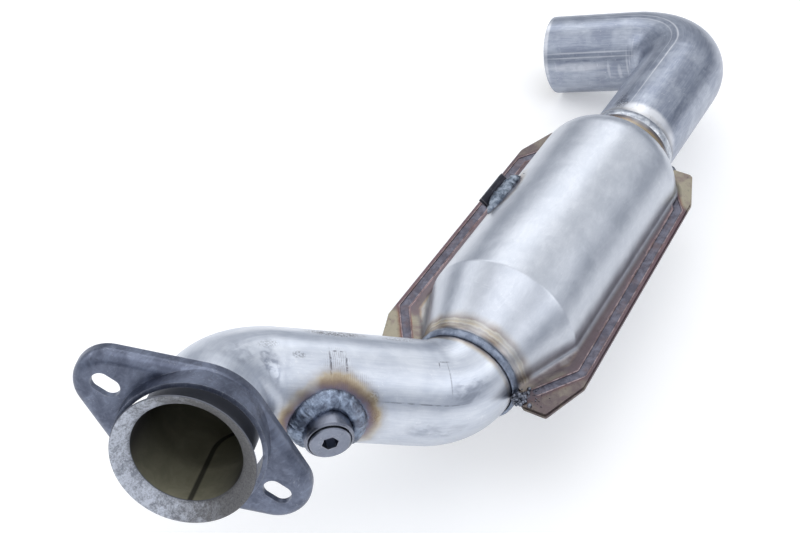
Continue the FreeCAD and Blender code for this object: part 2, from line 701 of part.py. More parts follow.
def seam_end_bead(root_x, corner_x, side):
    """A round bead along one slanting edge, which runs out from a neck to a corner of the seam flange."""
    root = Vector(root_x, side * NECK_RADIUS * SEAM_ROOT_SHARE, 0)
    edge = Vector(corner_x, side * SEAM_NOTCH_HALF_WIDTH, 0) - root
    bead = Part.makeCylinder(SEAM_END_BEAD_RADIUS, edge.Length * SEAM_END_BEAD_SHARE,
                             root + edge * SEAM_END_BEAD_START, edge)
    ends = [rim for rim in bead.Edges if rim.Curve.TypeId == "Part::GeomCircle"]
    return bead.makeFillet(SEAM_END_BEAD_RADIUS * SEAM_END_BEAD_ROUND, ends)


def make_seam_end_welds():
    """Beads of weld that close the seam beside each neck, as a group of four."""
    shells = [make_upper_shell(), make_lower_shell()]
    inlet = (INLET_NECK_END + SEAM_ROOT_SETBACK, -SEAM_END_X, [make_inlet_neck_weld(), solid_pipe()])
    outlet_tube = swept_route(OUTLET_ROUTE, PIPE_RADIUS)
    outlet = (OUTLET_NECK_END - SEAM_ROOT_SETBACK, SEAM_END_X, [make_outlet_neck_weld(), outlet_tube])
    beads = []
    for root_x, corner_x, neighbours in (inlet, outlet):
        for side in (-1, 1):
            beads.append(largest_left(seam_end_bead(root_x, corner_x, side), shells + neighbours))
    return Part.makeCompound(beads)


# ---- all nodes ----

def make_nodes():
    """Every piece of the converter by node name, in the body's own frame."""
    nodes = {
        "inlet_flange": make_inlet_flange(),
        "inlet_pipe": make_inlet_pipe(),
        "sensor_bung": make_sensor_bung(),
        "bung_plug": make_bung_plug(),
        "bung_weld": make_bung_weld(),
        "inlet_neck_weld": make_inlet_neck_weld(),
        "upper_shell": make_upper_shell(),
        "lower_shell": make_lower_shell(),
        "side_bracket": make_side_bracket(),
        "bracket_weld": make_bracket_weld(),
        "seam_end_welds": make_seam_end_welds(),
        "outlet_neck_weld": make_outlet_neck_weld(),
        "outlet_pipe": make_outlet_pipe(),
    }
    nodes.update(make_catalyst())
    return nodes


def main():
    os.makedirs("parts", exist_ok=True)
    shift = row_shift()
    for name, shape in make_nodes().items():
        shape = shape.copy()
        shape.translate(shift)
        shape.exportStep("parts/" + name + ".step")
        print(name, "solids", len(shape.Solids), "volume", round(shape.Volume, 1), "valid", shape.isValid())


main()
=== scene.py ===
"""Clamshell catalytic converter with bent steel pipes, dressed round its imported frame.

Each sub-assembly is a class with its own sizes, in metres in the row frame, and each finish is a frozen
dataclass that makes its own node material. The pipes are swept again here so that their grain can follow
them, and the weld beads and the roller-pressed seam are made with Geometry Nodes.
"""
from __future__ import annotations

import json
import logging
import math
import random
from dataclasses import dataclass, field
from enum import Enum
from typing import Callable, Iterable, Optional, Sequence, Union

import bmesh
import bpy
import numpy as np
from mathutils import Matrix, Quaternion, Vector

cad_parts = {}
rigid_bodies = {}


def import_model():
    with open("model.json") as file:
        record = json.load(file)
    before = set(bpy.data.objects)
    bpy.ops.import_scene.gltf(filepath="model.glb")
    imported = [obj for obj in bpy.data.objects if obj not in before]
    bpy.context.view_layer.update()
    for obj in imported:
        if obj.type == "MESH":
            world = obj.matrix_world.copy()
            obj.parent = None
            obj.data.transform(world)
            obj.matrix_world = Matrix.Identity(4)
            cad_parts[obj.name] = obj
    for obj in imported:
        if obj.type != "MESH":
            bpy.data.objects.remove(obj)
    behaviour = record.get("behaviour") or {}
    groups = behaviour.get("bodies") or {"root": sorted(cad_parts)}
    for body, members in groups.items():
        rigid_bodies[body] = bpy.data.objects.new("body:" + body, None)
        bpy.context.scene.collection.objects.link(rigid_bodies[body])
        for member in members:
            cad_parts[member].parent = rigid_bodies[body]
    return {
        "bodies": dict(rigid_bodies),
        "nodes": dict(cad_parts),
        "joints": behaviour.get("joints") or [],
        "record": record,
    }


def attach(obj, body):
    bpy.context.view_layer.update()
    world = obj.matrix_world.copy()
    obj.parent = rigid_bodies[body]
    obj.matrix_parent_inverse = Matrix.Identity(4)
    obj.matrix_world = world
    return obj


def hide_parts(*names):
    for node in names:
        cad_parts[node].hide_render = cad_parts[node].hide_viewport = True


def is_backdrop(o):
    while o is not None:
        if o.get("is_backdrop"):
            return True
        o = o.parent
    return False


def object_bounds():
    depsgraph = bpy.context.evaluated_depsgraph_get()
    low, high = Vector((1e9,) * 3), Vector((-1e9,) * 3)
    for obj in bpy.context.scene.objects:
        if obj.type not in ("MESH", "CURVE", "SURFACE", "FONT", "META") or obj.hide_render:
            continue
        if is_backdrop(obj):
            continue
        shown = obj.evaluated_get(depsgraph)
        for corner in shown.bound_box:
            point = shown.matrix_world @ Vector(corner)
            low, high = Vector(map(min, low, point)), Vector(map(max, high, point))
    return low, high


LOG = logging.getLogger("converter")
MM = 0.001
Socket = bpy.types.NodeSocket
Colour = tuple[float, float, float]
Point = tuple[float, float, float]
Value = Union[Socket, float, int]


class Body(str, Enum):
    """The rigid bodies that a piece can ride on."""

    CONVERTER = "converter"
    FLANGE = "flange"


class Skin(Enum):
    """Which wall of a tube a point lies on."""

    OUTSIDE = 0.0
    INSIDE = 1.0
    SEAT = 2.0


# ---------------------------------------------------------------- node materials

class Recipe:
    """A node material being written, with short calls for the nodes it uses."""

    def __init__(self, name: str) -> None:
        """Starts a material that holds one Principled shader.

        Args:
            name: The material's name.
        """
        self.material = bpy.data.materials.new(name)
        self.material.use_nodes = True
        self.tree = self.material.node_tree
        self.shader = self.tree.nodes["Principled BSDF"]

    def add(self, kind: str) -> bpy.types.Node:
        """Adds a node of a kind.

        Args:
            kind: The node's type name, without ShaderNode.

        Returns:
            The new node.
        """
        return self.tree.nodes.new("ShaderNode" + kind)

    def feed(self, target: Socket, source: Union[Value, Sequence[float]]) -> None:
        """Links a socket or writes a value into a target socket.

        Args:
            target: The input to set.
            source: A socket to link from, or a plain value.
        """
        if isinstance(source, bpy.types.NodeSocket):
            self.tree.links.new(source, target)
        elif isinstance(source, (int, float)):
            target.default_value = float(source)
        elif len(source) == 3 and len(target.default_value) == 4:
            target.default_value = (*source, 1.0)
        else:
            target.default_value = tuple(source)

    def place(self) -> Socket:
        """Returns the Object coordinates, in metres in the row frame."""
        return self.add("TexCoord").outputs["Object"]

    def attribute(self, name: str) -> bpy.types.Node:
        """Returns the node that reads a named attribute of the mesh."""
        node = self.add("Attribute")
        node.attribute_name = name
        return node

    def split(self, vector: Socket) -> tuple[Socket, Socket, Socket]:
        """Returns the X, Y and Z of a vector."""
        node = self.add("SeparateXYZ")
        self.feed(node.inputs[0], vector)
        return node.outputs[0], node.outputs[1], node.outputs[2]

    def join(self, x: Value, y: Value, z: Value) -> Socket:
        """Returns a vector made of three values."""
        node = self.add("CombineXYZ")
        for target, source in zip(node.inputs, (x, y, z)):
            self.feed(target, source)
        return node.outputs[0]

    def math(self, operation: str, first: Value, second: Value = 0.0, clamp: bool = False) -> Socket:
        """Returns a Math node's result.

        Args:
            operation: The node's operation, such as "MULTIPLY".
            first: The first value.
            second: The second value.
            clamp: Whether the result stays between 0 and 1.
        """
        node = self.add("Math")
        node.operation = operation
        node.use_clamp = clamp
        self.feed(node.inputs[0], first)
        self.feed(node.inputs[1], second)
        return node.outputs[0]

    def times(self, first: Value, second: Value) -> Socket:
        """Returns two values multiplied."""
        return self.math("MULTIPLY", first, second)

    def plus(self, first: Value, second: Value, clamp: bool = False) -> Socket:
        """Returns two values added, held between 0 and 1 when clamped."""
        return self.math("ADD", first, second, clamp)

    def minus(self, first: Value, second: Value, clamp: bool = False) -> Socket:
        """Returns the second value taken from the first, held between 0 and 1 when clamped."""
        return self.math("SUBTRACT", first, second, clamp)

    def hypot(self, first: Value, second: Value) -> Socket:
        """Returns the root of the sum of two squares."""
        return self.math("SQRT", self.plus(self.times(first, first), self.times(second, second)))

    def scaled(self, vector: Socket, by: Sequence[float]) -> Socket:
        """Returns a vector multiplied axis by axis."""
        node = self.add("VectorMath")
        node.operation = "MULTIPLY"
        self.feed(node.inputs[0], vector)
        node.inputs[1].default_value = tuple(by)
        return node.outputs[0]

    def distance(self, vector: Socket, point: Sequence[float]) -> Socket:
        """Returns how far a place is from a fixed point."""
        node = self.add("VectorMath")
        node.operation = "DISTANCE"
        self.feed(node.inputs[0], vector)
        node.inputs[1].default_value = tuple(point)
        return node.outputs["Value"]

    def reach(self, vector: Socket, point: Sequence[float], sizes: Sequence[float]) -> Socket:
        """Returns how far a place is from a fixed point, with each axis measured in a size of its own."""
        off = self.add("VectorMath")
        off.operation = "SUBTRACT"
        self.feed(off.inputs[0], vector)
        off.inputs[1].default_value = tuple(point)
        length = self.add("VectorMath")
        length.operation = "LENGTH"
        self.feed(length.inputs[0], self.scaled(off.outputs[0], [1.0 / size for size in sizes]))
        return length.outputs["Value"]

    def fade(self, value: Value, start: float, end: float, low: float = 1.0, high: float = 0.0) -> Socket:
        """Returns a smooth change from low to high as value goes from start to end."""
        node = self.add("MapRange")
        node.interpolation_type = "SMOOTHSTEP"
        for target, source in zip(node.inputs[:5], (value, start, end, low, high)):
            self.feed(target, source)
        return node.outputs[0]

    def noise(self, vector: Socket, scale: float, detail: float = 3.0, roughness: float = 0.55,
              distortion: float = 0.0) -> Socket:
        """Returns a noise texture's value, about 0.5 in the middle."""
        node = self.add("TexNoise")
        self.feed(node.inputs["Vector"], vector)
        node.inputs["Scale"].default_value = scale
        node.inputs["Detail"].default_value = detail
        node.inputs["Roughness"].default_value = roughness
        node.inputs["Distortion"].default_value = distortion
        return node.outputs[0]

    def cells(self, vector: Socket, scale: float, feature: str = "F1") -> Socket:
        """Returns the distance in a Voronoi texture."""
        node = self.add("TexVoronoi")
        node.feature = feature
        self.feed(node.inputs["Vector"], vector)
        node.inputs["Scale"].default_value = scale
        return node.outputs["Distance"]

    def ramp(self, value: Value, stops: Sequence[tuple[float, Colour]]) -> Socket:
        """Returns a colour ramp's colour.

        Args:
            value: Where to read the ramp, from 0 to 1.
            stops: The places of its colours and the colours themselves.
        """
        node = self.add("ValToRGB")
        self.feed(node.inputs[0], value)
        elements = node.color_ramp.elements
        while len(elements) < len(stops):
            elements.new(0.5)
        for element, (position, colour) in zip(elements, stops):
            element.position = position
            element.color = (*colour, 1.0)
        return node.outputs[0]

    def mix(self, share: Value, first: Union[Socket, Colour], second: Union[Socket, Colour],
            blend: str = "MIX") -> Socket:
        """Returns two colours mixed, with share of the second."""
        node = self.add("Mix")
        node.data_type = "RGBA"
        node.blend_type = blend
        self.feed(node.inputs[0], share)
        self.feed(node.inputs[6], first)
        self.feed(node.inputs[7], second)
        return node.outputs[2]

    def bump(self, height: Socket, strength: float, distance: float,
             normal: Optional[Socket] = None) -> Socket:
        """Returns a normal bent by a height.

        Args:
            height: The height to follow.
            strength: How strongly it shows, from 0 to 1.
            distance: The height of a full step, in metres.
            normal: A normal from another bump node to add to.
        """
        node = self.add("Bump")
        node.inputs["Strength"].default_value = strength
        node.inputs["Distance"].default_value = distance
        self.feed(node.inputs["Height"], height)
        if normal is not None:
            self.feed(node.inputs["Normal"], normal)
        return node.outputs[0]

    def finish(self, colour: Union[Socket, Colour], roughness: Value, metal: Value,
               normal: Optional[Socket] = None) -> bpy.types.Material:
        """Sets the shader's sockets and returns the material."""
        self.feed(self.shader.inputs["Base Color"], colour)
        self.feed(self.shader.inputs["Roughness"], roughness)
        self.feed(self.shader.inputs["Metallic"], metal)
        if normal is not None:
            self.feed(self.shader.inputs["Normal"], normal)
        return self.material


STRAW: Colour = (0.47, 0.425, 0.32)
GOLD: Colour = (0.39, 0.30, 0.16)
BROWN: Colour = (0.20, 0.135, 0.09)
PURPLE: Colour = (0.15, 0.105, 0.13)
BLUE: Colour = (0.13, 0.165, 0.24)
SLATE: Colour = (0.085, 0.09, 0.11)


@dataclass(frozen=True)
class Tint:
    """Heat colours beside a weld, by distance from its line.

    They reach so far, in metres, at a strength. The stops give each share of the reach its colour. The edge
    wanders by a share of the reach, the tint holds its strength up to a share of it, and it may be patchy.
    """

    reach: float
    strength: float
    stops: tuple[tuple[float, Colour], ...]
    wander: float = 0.25
    hold: float = 0.35
    patchy: float = 0.5


NECK_TINT = Tint(
    15 * MM, 0.85,
    ((0.0, SLATE), (0.12, BROWN), (0.20, (0.30, 0.25, 0.17)), (0.26, BROWN), (0.33, STRAW), (0.37, GOLD),
     (0.44, (0.33, 0.27, 0.19)), (0.48, STRAW), (0.56, BROWN), (0.75, (0.36, 0.30, 0.24)), (1.0, STRAW)),
    wander=0.15, hold=0.5)
HOLLOW_TINT = Tint(
    18 * MM, 0.9,
    ((0.0, SLATE), (0.10, BROWN), (0.24, GOLD), (0.34, BROWN), (0.48, PURPLE), (0.60, BROWN), (0.80, STRAW),
     (1.0, STRAW)),
    wander=0.10, hold=0.45)
PIPE_TINT = Tint(6 * MM, 0.75, ((0.0, SLATE), (0.3, BROWN), (0.6, GOLD), (1.0, STRAW)), wander=0.2)
SPENT_TINT = Tint(7 * MM, 0.4, ((0.0, SLATE), (0.5, (0.33, 0.30, 0.25)), (1.0, STRAW)), wander=0.3)
BUNG_TINT = Tint(
    37 * MM, 0.9,
    ((0.0, BLUE), (0.58, BLUE), (0.64, PURPLE), (0.70, BROWN), (0.80, GOLD), (0.88, (0.30, 0.27, 0.26)),
     (1.0, STRAW)),
    wander=0.10, hold=0.72)
BRACKET_TINT = Tint(
    17 * MM, 0.75,
    ((0.0, SLATE), (0.55, PURPLE), (0.72, BROWN), (0.9, STRAW), (1.0, STRAW)),
    wander=0.2, hold=0.6)


@dataclass(frozen=True)
class Metal:
    """Satin steel with grain, blotches, fine scratches and dirt.

    Grain runs along the first axis of the place vector that is given to it.
    """

    slot: str
    light: Colour
    dark: Colour
    roughness: float = 0.34
    spread: float = 0.12
    grain: float = 0.35
    grain_scale: float = 900.0
    grain_stretch: float = 0.05
    blotch: float = 0.35
    blotch_scale: float = 55.0
    scratch: float = 0.25
    bump: float = 0.25

    def lay(self, recipe: Recipe, place: Socket) -> tuple[Socket, Socket, Socket]:
        """Makes the plain metal's colour, roughness and normal.

        Args:
            recipe: The material being written.
            place: Coordinates in metres whose first axis follows the grain.

        Returns:
            The colour, roughness and normal sockets.
        """
        drawn = recipe.scaled(place, (self.grain_stretch, 1.0, 1.0))
        lines = recipe.noise(drawn, self.grain_scale, 4.0, 0.65)
        clouds = recipe.noise(place, self.blotch_scale, 5.0, 0.6, 0.4)
        stretched = recipe.scaled(place, (0.35, 1.0, 1.0))
        wisps = recipe.noise(stretched, self.blotch_scale * 3.4, 4.0, 0.6, 1.2)
        share = recipe.times(recipe.fade(clouds, 0.35, 0.7), self.blotch)
        share = recipe.plus(share, recipe.times(recipe.fade(wisps, 0.4, 0.75), self.blotch * 0.6))
        streaks = recipe.times(recipe.fade(lines, 0.3, 0.7), self.grain)
        share = recipe.plus(share, streaks, clamp=True)
        colour = recipe.mix(share, self.light, self.dark)
        scuffs = self.scuffs(recipe, place)
        colour = recipe.mix(recipe.times(scuffs, self.scratch), colour, (0.86, 0.87, 0.88))
        level = recipe.plus(recipe.times(clouds, self.spread), recipe.times(lines, self.spread))
        rough = recipe.plus(level, self.roughness - self.spread)
        rough = recipe.minus(rough, recipe.times(scuffs, 0.06), clamp=True)
        height = recipe.plus(recipe.times(lines, 0.5), recipe.times(wisps, 0.6))
        normal = recipe.bump(recipe.minus(height, recipe.times(scuffs, 0.4)), self.bump, 0.06 * MM)
        return colour, rough, normal

    @staticmethod
    def scuffs(recipe: Recipe, place: Socket) -> Socket:
        """Returns a mask of thin scratches that lie in two directions."""
        masks = []
        for turn, scale in ((0.5, 70.0), (-0.9, 95.0)):
            node = recipe.add("VectorRotate")
            node.rotation_type = "EULER_XYZ"
            recipe.feed(node.inputs["Vector"], place)
            node.inputs["Rotation"].default_value = (turn, turn * 1.7, turn * 0.6)
            thin = recipe.noise(recipe.scaled(node.outputs[0], (0.06, 1.0, 1.0)), scale * 14, 1.0, 0.4)
            patch = recipe.noise(node.outputs[0], scale, 2.0)
            masks.append(recipe.times(recipe.fade(thin, 0.66, 0.72, 0.0, 1.0),
                                      recipe.fade(patch, 0.52, 0.62, 0.0, 1.0)))
        return recipe.math("MAXIMUM", masks[0], masks[1])


def tinted(recipe: Recipe, colour: Socket, place: Socket, distance: Socket, tint: Tint) -> Socket:
    """Lays heat colours over a colour.

    Args:
        recipe: The material being written.
        colour: The colour so far.
        place: Coordinates that make the tint's edge wander.
        distance: How far each place is from the weld, in metres.
        tint: The heat colours.

    Returns:
        The tinted colour.
    """
    wander = recipe.minus(recipe.noise(place, 120.0, 4.0, 0.6), 0.5)
    span = recipe.math("DIVIDE", distance, tint.reach)
    span = recipe.plus(span, recipe.times(wander, tint.wander * 2))
    share = recipe.times(recipe.fade(span, tint.hold, 1.0), tint.strength)
    patchy = recipe.fade(recipe.noise(place, 42.0, 2.0, 0.5), 0.34, 0.58, 1.0 - tint.patchy, 1.0)
    share = recipe.times(share, patchy)
    return recipe.mix(share, colour, recipe.ramp(recipe.math("MAXIMUM", span, 0.0), tint.stops))


# ---------------------------------------------------------------- pipe centre lines

@dataclass(frozen=True)
class Frame:
    """A place on a centre line, with the way along it and two ways square to that."""

    point: Vector
    heading: Vector
    side: Vector
    other: Vector

    def on_wall(self, radius: float, angle: float) -> Vector:
        """Returns the point at a radius and an angle round the line."""
        return self.point + (self.side * math.cos(angle) + self.other * math.sin(angle)) * radius


@dataclass(frozen=True)
class Leg:
    """A straight of some length, or a bend of some angle when it has one."""

    length: float = 0.0
    angle: float = 0.0
    roll: float = 0.0
    radius: float = 0.0

    @property
    def run(self) -> float:
        """The leg's length along the centre line."""
        return self.radius * math.radians(self.angle) if self.angle else self.length

    def inward(self, start: Frame) -> Vector:
        """Returns the way from the leg's start to the bend's centre, its roll taken from straight up."""
        level = (Vector((0, 0, 1)) - start.heading * start.heading.z).normalized()
        roll = math.radians(self.roll)
        return level * math.cos(roll) + start.heading.cross(level) * math.sin(roll)

    def at(self, start: Frame, run: float) -> Frame:
        """Returns the frame at a run along the leg.

        Args:
            start: The leg's first frame.
            run: How far along the leg, in metres.
        """
        if not self.angle:
            return Frame(start.point + start.heading * run, start.heading, start.side, start.other)
        inward = self.inward(start)
        turn = Quaternion(start.heading.cross(inward), run / self.radius)
        centre = start.point + inward * self.radius
        point = centre - (turn @ inward) * self.radius
        return Frame(point, turn @ start.heading, turn @ start.side, turn @ start.other)


class Route:
    """A pipe's centre line, made of legs."""

    def __init__(self, start: Frame, legs: Sequence[Leg]) -> None:
        """Lays the legs one after another.

        Args:
            start: The first frame.
            legs: The legs in order.
        """
        self.legs = list(legs)
        self.starts = [start]
        self.reaches = [0.0]
        for leg in self.legs:
            self.starts.append(leg.at(self.starts[-1], leg.run))
            self.reaches.append(self.reaches[-1] + leg.run)

    @property
    def length(self) -> float:
        """The whole length of the centre line."""
        return self.reaches[-1]

    @property
    def end(self) -> Frame:
        """The last frame."""
        return self.starts[-1]

    def at(self, distance: float) -> Frame:
        """Returns the frame at a distance from the start."""
        index = 0
        while index + 1 < len(self.legs) and distance > self.reaches[index + 1]:
            index += 1
        return self.legs[index].at(self.starts[index], distance - self.reaches[index])

    def bends(self) -> list[tuple[float, float]]:
        """Returns where each bend starts and ends."""
        spans = zip(self.legs, self.reaches, self.reaches[1:])
        return [(start, end) for leg, start, end in spans if leg.angle]

    def moved(self, shift: Vector) -> "Route":
        """Returns the same route moved by a shift."""
        start = self.starts[0]
        return Route(Frame(start.point + shift, start.heading, start.side, start.other), self.legs)


@dataclass(frozen=True)
class Layout:
    """The part's main sizes and places, in metres; the body's frame has its origin mid-body in the seam.

    A bend is its angle and the roll of its plane about the pipe from straight up, both in degrees.
    """

    pipe_radius: float = 31.75 * MM
    pipe_wall: float = 1.6 * MM
    bend_radius: float = 45.0 * MM
    inlet_bend: tuple[float, float] = (51.0, 64.6)
    middle_run: float = 90.5 * MM
    mouth_bend: tuple[float, float] = (65.5, -81.9)
    mouth_run: float = 52.5 * MM
    outlet_run: float = 107.0 * MM
    outlet_bend: tuple[float, float] = (97.0, -106.2)
    outlet_tail: float = 71.5 * MM
    inlet_neck: float = -118.0 * MM
    outlet_neck: float = 131.0 * MM
    engagement: float = 9.0 * MM
    neck_radius: float = 33.4 * MM
    seam_half_width: float = 67.3 * MM
    seam_taper: float = 5.0 * MM
    seam_wall: float = 1.5 * MM
    track_inset: float = 5.2 * MM
    track_end: tuple[float, float] = (116.0 * MM, 43.0 * MM)
    track_corner: float = 87.0 * MM
    flare_rise: float = 7.6 * MM
    flare_slope: float = math.radians(50.0)
    flare_lip: float = 0.8 * MM
    bung_from_rim: float = 130.0 * MM
    bung_radius: float = 14.2 * MM

    def bend(self, turn: tuple[float, float]) -> Leg:
        """Returns a bend of an angle and a roll."""
        return Leg(angle=turn[0], roll=turn[1], radius=self.bend_radius)

    def inlet(self) -> Route:
        """Returns the inlet pipe's route in the body's frame, from its neck to the rim."""
        foot = Vector((self.inlet_neck + self.engagement, 0, 0))
        start = Frame(foot, Vector((-1, 0, 0)), Vector((0, 0, 1)), Vector((0, 1, 0)))
        return Route(start, [Leg(self.engagement), self.bend(self.inlet_bend), Leg(self.middle_run),
                             self.bend(self.mouth_bend), Leg(self.mouth_run)])

    def outlet(self) -> Route:
        """Returns the outlet pipe's route in the body's frame, from its neck to its open end."""
        foot = Vector((self.outlet_neck - self.engagement, 0, 0))
        start = Frame(foot, Vector((1, 0, 0)), Vector((0, 0, 1)), Vector((0, -1, 0)))
        return Route(start, [Leg(self.engagement + self.outlet_run), self.bend(self.outlet_bend),
                             Leg(self.outlet_tail)])

    @property
    def flare_back(self) -> float:
        """How far behind the rim the flare begins, on the outside."""
        return self.flare_lip + self.flare_rise / math.tan(self.flare_slope)

    def origin(self) -> Vector:
        """Returns the body's origin in the row frame."""
        mouth = self.inlet().end
        return mouth.heading * self.flare_back - mouth.point


LAYOUT = Layout()
ORIGIN = LAYOUT.origin()


# ---------------------------------------------------------------- meshes

def new_object(name: str, mesh: bpy.types.Mesh) -> bpy.types.Object:
    """Adds a mesh object to the scene at the origin."""
    piece = bpy.data.objects.new(name, mesh)
    bpy.context.scene.collection.objects.link(piece)
    return piece


@dataclass(frozen=True)
class Row:
    """One ring of a tube: its distance along the route, its radius and its wall."""

    distance: float
    radius: float
    skin: Skin


@dataclass(frozen=True)
class Dent:
    """A shallow round dent in a tube's outer wall."""

    distance: float
    angle: float
    reach: float
    depth: float

    def depth_at(self, distance: float, angle: float, radius: float) -> float:
        """Returns how deep the dent is at a place on the wall."""
        turn = (angle - self.angle + math.pi) % (2 * math.pi) - math.pi
        span = math.hypot(distance - self.distance, turn * radius) / self.reach
        return self.depth * math.exp(-span * span * 2.5)


class Tube:
    """A bent tube with walls, swept ring by ring."""

    AROUND = 128

    def __init__(self, name: str, route: Route, rows: Sequence[Row],
                 shape: Callable[[float, float], float]) -> None:
        """Keeps what the tube is swept from.

        Args:
            name: The piece's name.
            route: The centre line.
            rows: The rings of one closed lap over the outer and the inner wall.
            shape: How far the wall is drawn in at a distance and an angle.
        """
        self.name = name
        self.route = route
        self.rows = rows
        self.shape = shape

    def build(self) -> bpy.types.Object:
        """Returns the tube as an object, with its unrolled place and wall as attributes."""
        angles = [2 * math.pi * step / self.AROUND for step in range(self.AROUND)]
        points, unrolled, skins = [], [], []
        for row in self.rows:
            frame = self.route.at(row.distance)
            for angle in angles:
                radius = row.radius - self.shape(row.distance, angle)
                points.append(frame.on_wall(radius, angle))
                unrolled.append((row.distance, LAYOUT.pipe_radius * math.cos(angle),
                                 LAYOUT.pipe_radius * math.sin(angle)))
                skins.append(row.skin.value)
        faces = []
        laps = len(self.rows)
        for lap in range(laps):
            here, ahead = lap * self.AROUND, (lap + 1) % laps * self.AROUND
            for step in range(self.AROUND):
                turn = (step + 1) % self.AROUND
                faces.append((here + step, here + turn, ahead + turn, ahead + step))
        mesh = bpy.data.meshes.new(self.name)
        mesh.from_pydata(points, [], faces)
        mesh.attributes.new("unrolled", "FLOAT_VECTOR", "POINT").data.foreach_set(
            "vector", np.array(unrolled, dtype=np.float32).ravel())
        mesh.attributes.new("skin", "FLOAT", "POINT").data.foreach_set("value", skins)
        tidy(mesh)
        return new_object(self.name, mesh)


def tidy(mesh: bpy.types.Mesh) -> None:
    """Turns all faces outwards and shades them smooth."""
    work = bmesh.new()
    work.from_mesh(mesh)
    bmesh.ops.recalc_face_normals(work, faces=work.faces)
    for face in work.faces:
        face.smooth = True
    work.to_mesh(mesh)
    work.free()


def spread(start: float, end: float, step: float) -> list[float]:
    """Returns even places from start to end, both in, no further apart than step."""
    count = max(1, math.ceil(abs(end - start) / step))
    return [start + (end - start) * index / count for index in range(count + 1)]


def hump(value: float, start: float, end: float, soft: float) -> float:
    """Returns 1 between start and end, falling smoothly to 0 over soft on either side."""
    def ease(share: float) -> float:
        """Returns a share from 0 to 1 with its ends eased."""
        share = min(1.0, max(0.0, share))
        return share * share * (3 - 2 * share)
    return ease((value - start) / soft + 1) * ease((end - value) / soft + 1)


# ---------------------------------------------------------------- weld metal, with Geometry Nodes

class Tree:
    """A Geometry Nodes group with named inputs, and short calls for the nodes that it uses."""

    FIELDS: tuple[str, ...] = ()

    def __init__(self, name: str) -> None:
        """Makes the group's sockets and writes its nodes.

        Args:
            name: The group's name.
        """
        self.group = bpy.data.node_groups.new(name, "GeometryNodeTree")
        face = self.group.interface
        face.new_socket("Geometry", in_out="OUTPUT", socket_type="NodeSocketGeometry")
        face.new_socket("Geometry", in_out="INPUT", socket_type="NodeSocketGeometry")
        self.keys = {field: face.new_socket(field, in_out="INPUT", socket_type="NodeSocketFloat").identifier
                     for field in self.FIELDS}
        self.keys["Material"] = face.new_socket("Material", in_out="INPUT",
                                                socket_type="NodeSocketMaterial").identifier
        self.given = self.node("NodeGroupInput").outputs
        self.finish(self.write())

    def write(self) -> Socket:
        """Writes the group's own nodes and returns their geometry."""
        raise NotImplementedError

    def node(self, kind: str, **settings: object) -> bpy.types.Node:
        """Adds a node and sets its properties."""
        made = self.group.nodes.new(kind)
        for key, value in settings.items():
            setattr(made, key, value)
        return made

    def link(self, source: Socket, target: Socket) -> None:
        """Links two sockets."""
        self.group.links.new(source, target)

    def math(self, operation: str, first: Value, second: Value = 0.0) -> Socket:
        """Returns a Math node's result."""
        made = self.node("ShaderNodeMath", operation=operation)
        for target, source in zip(made.inputs, (first, second)):
            if isinstance(source, bpy.types.NodeSocket):
                self.link(source, target)
            else:
                target.default_value = source
        return made.outputs[0]

    def pushed(self, geometry: Socket, height: Socket) -> Socket:
        """Returns geometry whose points are moved along their normals by a height."""
        normal = self.node("ShaderNodeVectorMath", operation="SCALE")
        self.link(self.node("GeometryNodeInputNormal").outputs[0], normal.inputs[0])
        self.link(height, normal.inputs["Scale"])
        moved = self.node("GeometryNodeSetPosition")
        self.link(geometry, moved.inputs["Geometry"])
        self.link(normal.outputs[0], moved.inputs["Offset"])
        return moved.outputs[0]

    def finish(self, geometry: Socket) -> None:
        """Ends the group: shaded smooth, realized and given its material."""
        smooth = self.node("GeometryNodeSetShadeSmooth")
        self.link(geometry, smooth.inputs["Geometry"])
        real = self.node("GeometryNodeRealizeInstances")
        self.link(smooth.outputs[0], real.inputs[0])
        painted = self.node("GeometryNodeSetMaterial")
        self.link(real.outputs[0], painted.inputs["Geometry"])
        self.link(self.given["Material"], painted.inputs["Material"])
        self.link(painted.outputs[0], self.node("NodeGroupOutput").inputs[0])

    def grow(self, mesh: bpy.types.Mesh, values: dict[str, object]) -> bpy.types.Mesh:
        """Runs the group over a mesh and returns the mesh that it makes.

        Args:
            mesh: The points that the group starts from, removed afterwards.
            values: A value for each of the group's inputs.
        """
        source = new_object("source", mesh)
        modifier = source.modifiers.new("grown", "NODES")
        modifier.node_group = self.group
        for key, value in values.items():
            modifier[self.keys[key]] = value
        graph = bpy.context.evaluated_depsgraph_get()
        made = bpy.data.meshes.new_from_object(source.evaluated_get(graph), depsgraph=graph)
        bpy.data.objects.remove(source)
        bpy.data.meshes.remove(mesh)
        return made


